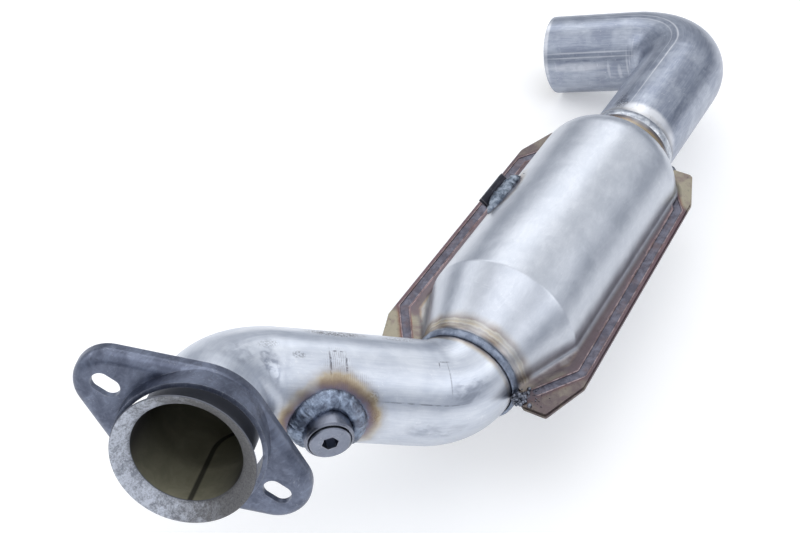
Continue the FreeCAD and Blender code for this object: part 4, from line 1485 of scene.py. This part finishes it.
@dataclass(frozen=True)
class OutletPipe(Part):
    """The bent outlet pipe with its plain open end."""

    ring_step: float = 2.0 * MM
    flatten: float = 0.5 * MM
    die_mark: float = 0.12 * MM
    die_width: float = 1.8 * MM
    chamfer: float = 0.3 * MM
    dents: tuple[Dent, ...] = (
        Dent(0.060, 3.4, 0.009, 0.2 * MM), Dent(0.100, 2.4, 0.008, 0.18 * MM),
        Dent(0.150, 3.0, 0.010, 0.25 * MM), Dent(0.220, 3.9, 0.008, 0.2 * MM))

    @property
    def route(self) -> Route:
        """The centre line in the row frame."""
        return LAYOUT.outlet().moved(ORIGIN)

    def shape(self, distance: float, angle: float) -> float:
        """Returns how far the wall is drawn in by the bend and the dents."""
        start, end = LAYOUT.outlet().bends()[0]
        depth = self.flatten * hump(distance, start + 0.015, end - 0.015, 0.015) * (
            0.5 + 0.5 * math.cos(2 * angle - 0.5))
        for mark in (start, end):
            depth += self.die_mark * math.exp(-((distance - mark) / self.die_width) ** 2)
        return depth + sum(dent.depth_at(distance, angle, LAYOUT.pipe_radius) for dent in self.dents)

    def rows(self) -> list[Row]:
        """Returns the rings over the outside, the cut end and back through the bore."""
        length = LAYOUT.outlet().length
        outer = LAYOUT.pipe_radius
        bore = outer - LAYOUT.pipe_wall
        out = [Row(d, outer, Skin.OUTSIDE) for d in spread(0.0, length - self.chamfer * 2, self.ring_step)]
        out += [Row(length - self.chamfer, outer, Skin.OUTSIDE), Row(length, outer - self.chamfer, Skin.SEAT),
                Row(length, bore + self.chamfer, Skin.SEAT), Row(length - self.chamfer, bore, Skin.INSIDE)]
        out += [Row(d, bore, Skin.INSIDE) for d in spread(length - self.chamfer * 3, 0.0, self.ring_step * 2)]
        return out

    def build(self, finish: PipeFinish) -> None:
        """Makes the pipe and gives it its finish."""
        piece = Tube("outlet_tube", self.route, self.rows(), self.shape).build()
        piece.data.materials.append(finish.make())
        self.stand_in(piece, ["outlet_pipe"], finish.metal.slot)


@dataclass(frozen=True)
class NeckWelds(Part):
    """The ring beads between the body's necks and the pipes."""

    inlet: BeadSize = BeadSize(6.2 * MM, 2.2 * MM, pitch=4.2 * MM, ripple=0.07 * MM, uneven=0.45 * MM)
    outlet: BeadSize = BeadSize(8.8 * MM, 1.6 * MM, pitch=3.0 * MM, ripple=0.05 * MM, uneven=0.30 * MM)
    sunk: float = 1.1 * MM
    inlet_out: float = 1.6 * MM
    outlet_out: float = 3.4 * MM

    def build(self, inlet_finish: WeldFinish, outlet_finish: WeldFinish) -> None:
        """Lays both rings.

        Args:
            inlet_finish: The dull metal of the inlet ring.
            outlet_finish: The brushed metal of the outlet ring.
        """
        across = LAYOUT.neck_radius - self.sunk
        inlet = ring_line(ORIGIN + Vector((LAYOUT.inlet_neck - self.inlet_out, 0, 0)), across)
        outlet = ring_line(ORIGIN + Vector((LAYOUT.outlet_neck + self.outlet_out, 0, 0)), across)
        self.stand_in(self.welder.lay("inlet_ring_bead", [(inlet, self.inlet)], inlet_finish.make()),
                      ["inlet_neck_weld"], inlet_finish.slot)
        self.stand_in(self.welder.lay("outlet_ring_bead", [(outlet, self.outlet)], outlet_finish.make()),
                      ["outlet_neck_weld"], outlet_finish.slot)


@dataclass(frozen=True)
class SeamEnds(Part):
    """The short beads that close the seam beside each neck, one of them porous and lumpy."""

    bead: BeadSize = BeadSize(6.2 * MM, 3.1 * MM, pitch=2.6 * MM, ripple=0.3 * MM, uneven=1.0 * MM, bow=0.8,
                              taper=3.0 * MM, sink=3.1 * MM)
    root_setback: float = 1.5 * MM
    root_share: float = 0.8
    corner: tuple[float, float] = (128.0 * MM, 42.0 * MM)
    start: float = 0.32
    end: float = 0.90
    slag: Cluster = Cluster(ORIGIN + Vector((-123.5, -38.5, 2.0)) * MM, (5.6 * MM, 5.0 * MM, 1.8 * MM),
                            90, 0.35 * MM, 1.5 * MM)
    spatter: Cluster = Cluster(ORIGIN + Vector((-117.0, -47.0, 1.7)) * MM, (12.0 * MM, 6.0 * MM, 0.1 * MM),
                               26, 0.15 * MM, 0.5 * MM)

    def line(self, neck: float, side: int) -> Line:
        """Returns one bead's line along the slanting edge between a neck and a corner.

        Args:
            neck: Where the neck ends along the body.
            side: 1 for left and -1 for right.
        """
        outward = math.copysign(1.0, neck)
        root = Vector((neck - outward * self.root_setback, side * LAYOUT.neck_radius * self.root_share, 0))
        corner = Vector((outward * self.corner[0], side * self.corner[1], 0))
        points = [ORIGIN + root.lerp(corner, share) for share in spread(self.start, self.end, 0.08)]
        return points, [Vector((0, 0, 1))] * len(points), False

    def build(self, finish: WeldFinish) -> None:
        """Lays the four beads and the slag as one piece."""
        lines = [(self.line(neck, side), self.bead) for neck in (LAYOUT.inlet_neck, LAYOUT.outlet_neck)
                 for side in (1, -1)]
        piece = self.welder.lay("seam_end_beads", lines, finish.make(), (self.slag, self.spatter))
        self.stand_in(piece, ["seam_end_welds"], finish.slot)


@dataclass(frozen=True)
class BracketWeld(Part):
    """The heavy bead that holds the side bracket, fat at its outlet end."""

    direction: float = math.radians(33.0)
    runs: tuple[tuple[Point, Point, BeadSize], ...] = (
        ((-5.0, 50.4, 2.6), (32.0, 50.4, 3.0),
         BeadSize(12.2 * MM, 6.6 * MM, pitch=5.0 * MM, ripple=0.5 * MM, uneven=2.0 * MM, bow=1.4,
                  taper=8 * MM, sink=2.0 * MM)),
        ((14.0, 50.8, 4.6), (33.0, 50.5, 5.6),
         BeadSize(9.0 * MM, 5.2 * MM, pitch=3.5 * MM, ripple=0.5 * MM, uneven=1.8 * MM, bow=1.4,
                  taper=5 * MM, sink=2.0 * MM)),
        ((-8.4, 50.4, 1.0), (8.0, 50.7, 2.4),
         BeadSize(7.5 * MM, 3.8 * MM, pitch=3.0 * MM, ripple=0.35 * MM, uneven=1.0 * MM, bow=1.0,
                  taper=5 * MM, sink=1.5 * MM)))
    spatter: Point = (20.0, 51.0, 10.0)
    burnt: Point = (13.0, 50.8, 4.0)

    def place(self, local: Point) -> Vector:
        """Returns a place from its run along the body, its height from the axis and its way round, in mm."""
        run, out, over = local
        angle = self.direction
        return ORIGIN + Vector((run, out * math.cos(angle) - over * math.sin(angle),
                                out * math.sin(angle) + over * math.cos(angle))) * MM

    def line(self, start: Point, end: Point) -> Line:
        """Returns one run's line along the shell, its lifts square to the wall."""
        points = [self.place(start).lerp(self.place(end), step / 24) for step in range(25)]
        lifts = []
        for point in points:
            out = point - ORIGIN
            lifts.append(Vector((0, out.y, out.z)).normalized())
        return points, lifts, False

    def build(self, finish: WeldFinish) -> None:
        """Lays the overlapping runs as one piece."""
        spatter = Cluster(self.place(self.spatter), (14 * MM, 2.0 * MM, 2.4 * MM), 24, 0.12 * MM, 0.5 * MM)
        lines = [(self.line(start, end), size) for start, end, size in self.runs]
        piece = self.welder.lay("bracket_bead", lines, finish.make(), (spatter,))
        self.stand_in(piece, ["bracket_weld"], finish.slot)


@dataclass(frozen=True)
class SensorPort(Part):
    """The bung's weld bead, round its foot on the pipe."""

    bead: BeadSize = BeadSize(12.6 * MM, 4.2 * MM, pitch=3.2 * MM, ripple=0.42 * MM, uneven=1.3 * MM, bow=2.4,
                              sink=2.0 * MM)
    out: float = 2.7 * MM
    wider: float = 1.7 * MM
    lift: float = 1.7 * MM

    def axes(self) -> tuple[Vector, Vector, Vector]:
        """Returns the bung's foot on the pipe's centre line, the way it points and the pipe's heading."""
        route = LAYOUT.inlet().moved(ORIGIN)
        frame = route.at(route.length - LAYOUT.bung_from_rim)
        level = frame.heading.cross(Vector((0, 0, 1))).normalized()
        return frame.point, -level, frame.heading

    def line(self) -> Line:
        """Returns the bead's line, where a cylinder round the bung meets the pipe."""
        foot, way, heading = self.axes()
        cross = way.cross(heading)
        points, lifts = [], []
        for step in range(200):
            angle = 2 * math.pi * step / 200
            radius = LAYOUT.bung_radius + self.out + self.wider * (0.5 - 0.5 * math.cos(angle)) ** 2
            off = radius * math.sin(angle)
            rise = math.sqrt(LAYOUT.pipe_radius ** 2 - off ** 2)
            out = (heading * math.cos(angle) + cross * math.sin(angle))
            points.append(foot + out * radius + way * (rise + self.lift))
            normal = (cross * off + way * rise).normalized()
            lifts.append((normal + out * 0.95).normalized())
        return points, lifts, True

    def build(self, finish: WeldFinish) -> None:
        """Lays the bead."""
        piece = self.welder.lay("bung_bead", [(self.line(), self.bead)], finish.make())
        self.stand_in(piece, ["bung_weld"], finish.slot)


@dataclass(frozen=True)
class SeamTracks(Part):
    """The roller seam welds pressed along both sides of the body, on both faces."""

    bead: BeadSize = BeadSize(5.6 * MM, 0.24 * MM, pitch=1.7 * MM, ripple=0.10 * MM, uneven=0.18 * MM,
                              bow=0.35, taper=2 * MM, sink=0.1 * MM, step=0.7 * MM)
    ridge: BeadSize = BeadSize(0.9 * MM, 0.30 * MM, pitch=3.0 * MM, ripple=0.04 * MM, uneven=0.12 * MM,
                               bow=0.0, taper=2 * MM, sink=0.1 * MM, step=2.0 * MM)
    depth: float = 0.28 * MM
    ridge_out: float = 3.15 * MM

    def line(self, side: int, face: int, out: float = 0.0, rise: float = 0.0) -> Line:
        """Returns one track's line, or a line beside it.

        Args:
            side: 1 for left and -1 for right.
            face: 1 for the upper face and -1 for the lower.
            out: How far out from the track's middle the line lies.
            rise: How far above the track's floor it lies.
        """
        end, half = LAYOUT.track_end
        half += out * 0.8
        end += out * 0.45
        corner = LAYOUT.track_corner + out * 0.3
        middle = LAYOUT.seam_half_width - LAYOUT.track_inset + out
        taper = LAYOUT.seam_taper if side < 0 else 0.0
        corners = [(-end, half), (-corner, middle), (corner, middle - taper), (end, half - taper)]
        points: list[Vector] = []
        for (x0, y0), (x1, y1) in zip(corners, corners[1:]):
            steps = max(2, int(math.hypot(x1 - x0, y1 - y0) / (4 * MM)))
            for step in range(steps):
                share = step / steps
                points.append(Vector((x0 + (x1 - x0) * share, y0 + (y1 - y0) * share, 0)))
        points.append(Vector((*corners[-1], 0)))
        height = (LAYOUT.seam_wall - self.depth + rise) * face
        placed = [ORIGIN + Vector((p.x, p.y * side, height)) for p in points]
        return placed, [Vector((0, 0, face))] * len(placed), False

    def build(self, finish: WeldFinish, ridge_finish: WeldFinish) -> None:
        """Lays the four tracks as one piece and the ridges that the roller raised beside them as another.

        Args:
            finish: The tracks' burnt metal.
            ridge_finish: The ridges' rubbed metal.
        """
        faces = [(side, face) for side in (1, -1) for face in (1, -1)]
        tracks = [(self.line(side, face), self.bead) for side, face in faces]
        ridges = [(self.line(side, face, out, self.depth), self.ridge) for side, face in faces
                  for out in (-self.ridge_out, self.ridge_out)]
        self.stand_in(self.welder.lay("seam_tracks", tracks, finish.make()), [], finish.slot)
        self.stand_in(self.welder.lay("seam_ridges", ridges, ridge_finish.make()), [], ridge_finish.slot)


@dataclass(frozen=True)
class CarriedNodes(Part):
    """The CAD nodes that stay, each with its finish."""

    nodes: dict[str, bpy.types.Object] = field(default_factory=dict)

    def paint(self, names: Iterable[str], material: bpy.types.Material) -> None:
        """Gives a material to CAD nodes."""
        for name in names:
            node = self.nodes[name]
            if not node.material_slots:
                node.data.materials.append(material)
            for slot in node.material_slots:
                slot.material = material
            LOG.info("%s keeps its shape", name)


# ---------------------------------------------------------------- studio

@dataclass(frozen=True)
class Lamp:
    """A soft rectangular light."""

    name: str
    place: Point
    size: tuple[float, float]
    power: float
    colour: Colour = (1.0, 1.0, 1.0)


@dataclass(frozen=True)
class Studio:
    """The floor, the lights, the surroundings and the camera."""

    eye: Vector = Vector((-346.31, -330.90, 545.94)) * MM
    view: Vector = Vector((0.64266, 0.37303, -0.6692))
    up: Vector = Vector((0.58882, 0.31837, 0.74293))
    lens: float = 62.0
    aim: Vector = Vector((0.24, -0.02, -0.06))
    lamps: tuple[Lamp, ...] = (
        Lamp("overhead", (0.30, -0.10, 1.60), (1.2, 1.2), 4.5),
        Lamp("far", (1.70, 0.78, 1.42), (1.9, 0.6), 5.0),
        Lamp("left", (-0.10, 1.50, 0.90), (1.4, 0.7), 3.2),
        Lamp("right", (0.80, -1.50, 0.95), (1.4, 0.7), 3.2))
    floor_colour: Colour = (0.80, 0.80, 0.80)
    floor_glow: float = 0.30
    floor_reach: float = 4.0
    heights: tuple[tuple[float, Colour], ...] = (
        (0.0, (0.85, 0.87, 0.90)), (0.45, (0.62, 0.65, 0.70)), (0.53, (0.28, 0.31, 0.37)),
        (0.63, (0.37, 0.40, 0.46)), (0.77, (0.96, 0.98, 1.01)), (0.90, (1.00, 1.01, 1.03)),
        (1.0, (0.70, 0.72, 0.76)))
    turns: tuple[tuple[float, Colour], ...] = (
        (0.0, (1.0, 1.0, 1.0)), (0.60, (1.0, 1.0, 1.0)), (0.82, (0.90, 0.91, 0.94)),
        (1.0, (1.08, 1.09, 1.11)))

    def camera(self) -> None:
        """Adds the camera."""
        data = bpy.data.cameras.new("camera")
        data.lens = self.lens
        data.sensor_width = 36.0
        data.clip_start = 0.01
        camera = bpy.data.objects.new("camera", data)
        bpy.context.scene.collection.objects.link(camera)
        back = -self.view.normalized()
        right = self.up.cross(back).normalized()
        up = back.cross(right)
        turn = Matrix((right, up, back)).transposed().to_4x4()
        camera.matrix_world = Matrix.Translation(self.eye) @ turn
        bpy.context.scene.camera = camera

    def floor(self, level: float) -> None:
        """Adds the pale floor.

        Args:
            level: The object's lowest point.
        """
        far = self.floor_reach
        corners = [(x, y, level) for x, y in ((-far, -far), (far, -far), (far, far), (-far, far))]
        mesh = bpy.data.meshes.new("floor")
        mesh.from_pydata(corners, [], [(0, 1, 2, 3)])
        floor = new_object("floor", mesh)
        recipe = Recipe("floor")
        rays = recipe.add("LightPath").outputs
        seen = recipe.math("MAXIMUM", rays["Is Camera Ray"], rays["Is Glossy Ray"])
        seen = recipe.math("MAXIMUM", seen, rays["Is Transmission Ray"])
        recipe.shader.inputs["Specular IOR Level"].default_value = 0.0
        recipe.shader.inputs["Emission Color"].default_value = (1.0, 1.0, 1.0, 1.0)
        recipe.feed(recipe.shader.inputs["Emission Strength"], recipe.times(seen, self.floor_glow))
        mesh.materials.append(recipe.finish(self.floor_colour, 1.0, 0.0))
        floor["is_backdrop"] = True

    def light(self) -> None:
        """Adds the lamps and the surroundings."""
        for lamp in self.lamps:
            data = bpy.data.lights.new(lamp.name, "AREA")
            data.shape = "RECTANGLE"
            data.size, data.size_y = lamp.size
            data.energy = lamp.power
            data.color = lamp.colour
            light = bpy.data.objects.new(lamp.name, data)
            light.location = lamp.place
            light.rotation_mode = "QUATERNION"
            light.rotation_quaternion = (self.aim - Vector(lamp.place)).to_track_quat("-Z", "Y")
            bpy.context.scene.collection.objects.link(light)
        self.surround()
        bpy.context.scene.view_settings.view_transform = "Standard"

    def surround(self) -> None:
        """Sets the surroundings: bright overhead, dimmer level with the horizon and a little behind."""
        world = bpy.data.worlds.new("surroundings")
        world.use_nodes = True
        bpy.context.scene.world = world
        tree = world.node_tree

        def ramp(source: Socket, stops: Sequence[tuple[float, Colour]]) -> Socket:
            """Returns a ramp's colour, read at a value from -1 to 1."""
            level = tree.nodes.new("ShaderNodeMath")
            level.operation = "MULTIPLY_ADD"
            level.inputs[1].default_value = 0.5
            level.inputs[2].default_value = 0.5
            tree.links.new(source, level.inputs[0])
            node = tree.nodes.new("ShaderNodeValToRGB")
            elements = node.color_ramp.elements
            while len(elements) < len(stops):
                elements.new(0.5)
            for element, (position, colour) in zip(elements, stops):
                element.position = position
                element.color = (*colour, 1.0)
            tree.links.new(level.outputs[0], node.inputs[0])
            return node.outputs[0]

        way = tree.nodes.new("ShaderNodeTexCoord").outputs["Generated"]
        split = tree.nodes.new("ShaderNodeSeparateXYZ")
        tree.links.new(way, split.inputs[0])
        behind = tree.nodes.new("ShaderNodeVectorMath")
        behind.operation = "DOT_PRODUCT"
        behind.inputs[1].default_value = tuple(-self.view.normalized())
        tree.links.new(way, behind.inputs[0])
        both = tree.nodes.new("ShaderNodeMix")
        both.data_type = "RGBA"
        both.blend_type = "MULTIPLY"
        both.inputs[0].default_value = 1.0
        tree.links.new(ramp(split.outputs[2], self.heights), both.inputs[6])
        tree.links.new(ramp(behind.outputs["Value"], self.turns), both.inputs[7])
        tree.links.new(both.outputs[2], tree.nodes["Background"].inputs["Color"])

    def build(self, level: float) -> None:
        """Sets up the whole studio over a floor at a level."""
        self.camera()
        self.floor(level)
        self.light()


# ---------------------------------------------------------------- the converter

INLET_STEEL = Metal("inlet_pipe_steel", (0.72, 0.75, 0.80), (0.46, 0.50, 0.58), roughness=0.37, spread=0.14,
                    grain=0.25)
OUTLET_STEEL = Metal("outlet_pipe_steel", (0.50, 0.535, 0.60), (0.27, 0.30, 0.375), roughness=0.36,
                     grain=0.35, blotch=0.5)
SHELL_STEEL = Metal("shell_steel", (0.64, 0.665, 0.715), (0.46, 0.49, 0.545), roughness=0.36, spread=0.12,
                    grain=0.16, grain_scale=1300.0, grain_stretch=0.25, blotch=0.45, scratch=0.15)
FLANGE_STEEL = Metal("flange_steel", (0.235, 0.265, 0.345), (0.105, 0.118, 0.162), roughness=0.38, grain=0.1,
                     blotch=0.6, blotch_scale=70.0, scratch=0.10, bump=0.5)
BUNG_STEEL = Metal("bung_steel", (0.25, 0.27, 0.33), (0.12, 0.13, 0.165), roughness=0.30, grain=0.2)
PLUG_STEEL = Metal("plug_steel", (0.29, 0.315, 0.385), (0.17, 0.185, 0.23), roughness=0.34, grain=0.2)
BRACKET_STEEL = Metal("bracket_steel", (0.085, 0.09, 0.115), (0.035, 0.035, 0.045), roughness=0.38,
                      blotch=0.6, scratch=0.1)

INLET_PATCHES = (
    Patch(0.107, 19.0, 0.024, 0.007, PipeMark.SPECKS, 0.95),
    Patch(0.07, 16.0, 0.014, 0.004, PipeMark.SPECKS, 0.5),
    Patch(0.134, 336.0, 0.005, 0.003, PipeMark.SPECKS, 0.5),
    Patch(0.088, 277.0, 0.007, 0.007, PipeMark.SPECKS, 0.6),
    Patch(0.09, 296.0, 0.005, 0.006, PipeMark.SPECKS, 0.6),
    Patch(0.153, 350.0, 0.01, 0.004, PipeMark.SPECKS, 0.35),
    Patch(0.111, 326.0, 0.01, 0.016, PipeMark.TOOLING, 0.55),
    Patch(0.103, 310.0, 0.016, 0.008, PipeMark.TOOLING, 0.55),
    Patch(0.1155, 329.0, 0.0008, 0.0125, PipeMark.SCRATCH, 0.85),
    Patch(0.106, 330.0, 0.0007, 0.01, PipeMark.SCRATCH, 0.85),
    Patch(0.111, 344.0, 0.005, 0.0008, PipeMark.SCRATCH, 0.7),
    Patch(0.0455, 341.0, 0.006, 0.0005, PipeMark.SCRATCH, 0.7),
    Patch(0.0485, 338.0, 0.0005, 0.003, PipeMark.SCRATCH, 0.7),
    Patch(0.043, 322.0, 0.0005, 0.014, PipeMark.SCRATCH, 0.45),
    Patch(0.06, 293.0, 0.034, 0.0005, PipeMark.SCRATCH, 0.55),
    Patch(0.026, 312.0, 0.005, 0.0012, PipeMark.SMUDGE, 0.8),
    Patch(0.158, 325.0, 0.012, 0.015, PipeMark.SMUDGE, 0.75),
    Patch(0.034, 306.0, 0.013, 0.011, PipeMark.SMUDGE, 0.55),
    Patch(0.176, 352.0, 0.016, 0.012, PipeMark.SMUDGE, 0.35),
    Patch(0.05, 262.0, 0.02, 0.008, PipeMark.SMUDGE, 0.4),
    Patch(0.145, 20.0, 0.03, 0.005, PipeMark.BRIGHT_AND_HIGHLIGHT, 0.4),
    Patch(0.2, 60.0, 0.026, 0.012, PipeMark.SMUDGE, 0.35),
    Patch(0.12, 130.0, 0.04, 0.01, PipeMark.SMUDGE, 0.35),
    Patch(0.08, 200.0, 0.03, 0.008, PipeMark.SMUDGE, 0.35))
OUTLET_PATCHES = (
    Patch(0.13, 347.0, 0.14, 0.0009, PipeMark.BRIGHT_AND_HIGHLIGHT, 0.6),
    Patch(0.15, 338.0, 0.09, 0.0007, PipeMark.BRIGHT_AND_HIGHLIGHT, 0.35),
    Patch(0.15, 342.0, 0.12, 0.0022, PipeMark.SMUDGE, 0.4),
    Patch(0.225, 283.0, 0.05, 0.0009, PipeMark.BRIGHT_AND_HIGHLIGHT, 0.5),
    Patch(0.22, 276.0, 0.055, 0.0009, PipeMark.BRIGHT_AND_HIGHLIGHT, 0.6),
    Patch(0.222, 271.0, 0.05, 0.0012, PipeMark.SMUDGE, 0.7),
    Patch(0.235, 262.0, 0.03, 0.005, PipeMark.BRIGHT_AND_HIGHLIGHT, 0.3),
    Patch(0.188, 271.0, 0.0016, 0.01, PipeMark.BRIGHT_AND_HIGHLIGHT, 0.32),
    Patch(0.193, 266.0, 0.0012, 0.015, PipeMark.BRIGHT_AND_HIGHLIGHT, 0.3),
    Patch(0.2, 252.0, 0.002, 0.008, PipeMark.BRIGHT_AND_HIGHLIGHT, 0.25),
    Patch(0.209, 255.0, 0.0014, 0.011, PipeMark.BRIGHT_AND_HIGHLIGHT, 0.22),
    Patch(0.182, 286.0, 0.0012, 0.012, PipeMark.BRIGHT_AND_HIGHLIGHT, 0.25),
    Patch(0.262, 300.0, 0.0025, 0.04, PipeMark.BRIGHT_AND_HIGHLIGHT, 0.5),
    # A painted highlight on the pipe just past the outlet ring bead.
    Patch(0.0235, 20.0, 0.009, 0.036, PipeMark.BRIGHT_AND_HIGHLIGHT, 0.8),
    Patch(0.028, 335.0, 0.008, 0.007, PipeMark.SPECKS, 0.75),
    Patch(0.036, 330.0, 0.01, 0.005, PipeMark.SPECKS, 0.5),
    Patch(0.085, 25.0, 0.03, 0.004, PipeMark.SMUDGE, 0.6),
    Patch(0.05, 48.0, 0.022, 0.004, PipeMark.SMUDGE, 0.7),
    Patch(0.1, 45.0, 0.018, 0.003, PipeMark.SMUDGE, 0.6),
    Patch(0.115, 12.0, 0.02, 0.01, PipeMark.SMUDGE, 0.3),
    Patch(0.2, 240.0, 0.04, 0.006, PipeMark.SMUDGE, 0.5),
    Patch(0.12, 150.0, 0.05, 0.012, PipeMark.SMUDGE, 0.35))


class Converter:
    """The whole dressed part."""

    def __init__(self, nodes: dict[str, bpy.types.Object]) -> None:
        """Keeps the CAD nodes and makes the welder that the sub-assemblies share."""
        self.nodes = nodes
        self.welder = Welder()

    def shell_finish(self, bracket: BracketWeld) -> ShellFinish:
        """Returns the shells' finish, coloured beside the neck beads and the bracket's bead."""
        inlet = ORIGIN + Vector((LAYOUT.inlet_neck + 1 * MM, 0, 0))
        outlet = ORIGIN + Vector((LAYOUT.outlet_neck - 1 * MM, 0, 0))
        rings = ((inlet, LAYOUT.neck_radius, NECK_TINT), (outlet, LAYOUT.neck_radius, HOLLOW_TINT))
        burnt = (bracket.place(bracket.burnt), Vector((31, 15, 15)) * MM, BRACKET_TINT)
        return ShellFinish(SHELL_STEEL, "shell_steel", rings, (burnt,))

    def pipes(self, port: SensorPort) -> None:
        """Makes both pipes, coloured beside their beads."""
        foot, way, heading = port.axes()
        spot = (foot + way * LAYOUT.pipe_radius - heading * 1.5 * MM, BUNG_TINT)
        inlet = ORIGIN + Vector((LAYOUT.inlet_neck - 4.2 * MM, 0, 0))
        outlet = ORIGIN + Vector((LAYOUT.outlet_neck + 7.8 * MM, 0, 0))
        InletPipe(self.welder).build(PipeFinish(
            INLET_STEEL, ((inlet, LAYOUT.pipe_radius, PIPE_TINT),), (spot,), INLET_PATCHES,
            darkened=LAYOUT.inlet().length - 42 * MM))
        OutletPipe(self.welder).build(PipeFinish(
            OUTLET_STEEL, ((outlet, LAYOUT.pipe_radius, SPENT_TINT),), (), OUTLET_PATCHES))

    def welds(self, port: SensorPort, bracket: BracketWeld) -> None:
        """Lays every bead."""
        NeckWelds(self.welder).build(
            WeldFinish("weld_steel", "inlet_ring_weld", crown=(0.30, 0.345, 0.43), hollow=(0.17, 0.20, 0.265),
                       warmth=0.2),
            WeldFinish("weld_steel", "outlet_ring_weld", crown=(0.62, 0.65, 0.69), hollow=(0.33, 0.355, 0.41),
                       flush=(0.40, 0.34, 0.27), roughness=0.30, warmth=0.35))
        port.build(WeldFinish("weld_steel", "bung_weld_metal", crown=(0.35, 0.42, 0.54),
                              hollow=(0.125, 0.15, 0.205), warmth=0.2))
        bracket.build(WeldFinish("weld_steel", "bracket_weld_metal", crown=(0.36, 0.41, 0.48),
                                 hollow=(0.10, 0.125, 0.165), warmth=0.25))
        SeamEnds(self.welder).build(WeldFinish("weld_steel", "seam_end_metal", crown=(0.27, 0.29, 0.34),
                                               hollow=(0.085, 0.09, 0.11), warmth=0.4))
        SeamTracks(self.welder).build(
            WeldFinish("shell_steel", "track_steel", crown=(0.165, 0.165, 0.205),
                       hollow=(0.085, 0.082, 0.105), flush=(0.155, 0.115, 0.12)),
            WeldFinish("shell_steel", "ridge_steel", crown=(0.40, 0.325, 0.335), hollow=(0.17, 0.125, 0.13),
                       flush=(0.22, 0.14, 0.125)))

    def kept(self, bracket: BracketWeld) -> None:
        """Gives finishes to the CAD nodes that stay."""
        kept = CarriedNodes(self.welder, nodes=self.nodes)
        kept.paint(["upper_shell", "lower_shell"], self.shell_finish(bracket).make())
        kept.paint(["inlet_flange"], PlainFinish(FLANGE_STEEL, wear=0.25).make())
        kept.paint(["sensor_bung"], PlainFinish(BUNG_STEEL).make())
        kept.paint(["bung_plug"], PlainFinish(PLUG_STEEL).make())
        kept.paint(["side_bracket"], PlainFinish(BRACKET_STEEL, wear=0.3).make())
        ends = ("front", "rear")
        kept.paint([end + "_substrate" for end in ends],
                   BlockFinish("substrate", (0.46, 0.40, 0.32), (0.14, 0.11, 0.08), 4200.0).make())
        kept.paint([end + "_mat" for end in ends],
                   BlockFinish("mat", (0.80, 0.78, 0.72), (0.60, 0.57, 0.50), 1500.0).make())
        kept.paint([f"{end}_{place}_seal" for end in ends for place in ("inlet", "outlet")],
                   BlockFinish("mesh_seal", (0.50, 0.50, 0.50), (0.16, 0.16, 0.16), 3000.0, 1.0, 0.4).make())

    def build(self) -> None:
        """Dresses every node."""
        port = SensorPort(self.welder)
        bracket = BracketWeld(self.welder)
        self.pipes(port)
        self.welds(port, bracket)
        self.kept(bracket)


def main() -> None:
    """Builds the scene over the frame."""
    logging.basicConfig(level=logging.INFO)
    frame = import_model()
    cad_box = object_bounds()
    Converter(frame["nodes"]).build()
    Studio().build(cad_box[0].z)


if __name__ == "__main__":
    main()
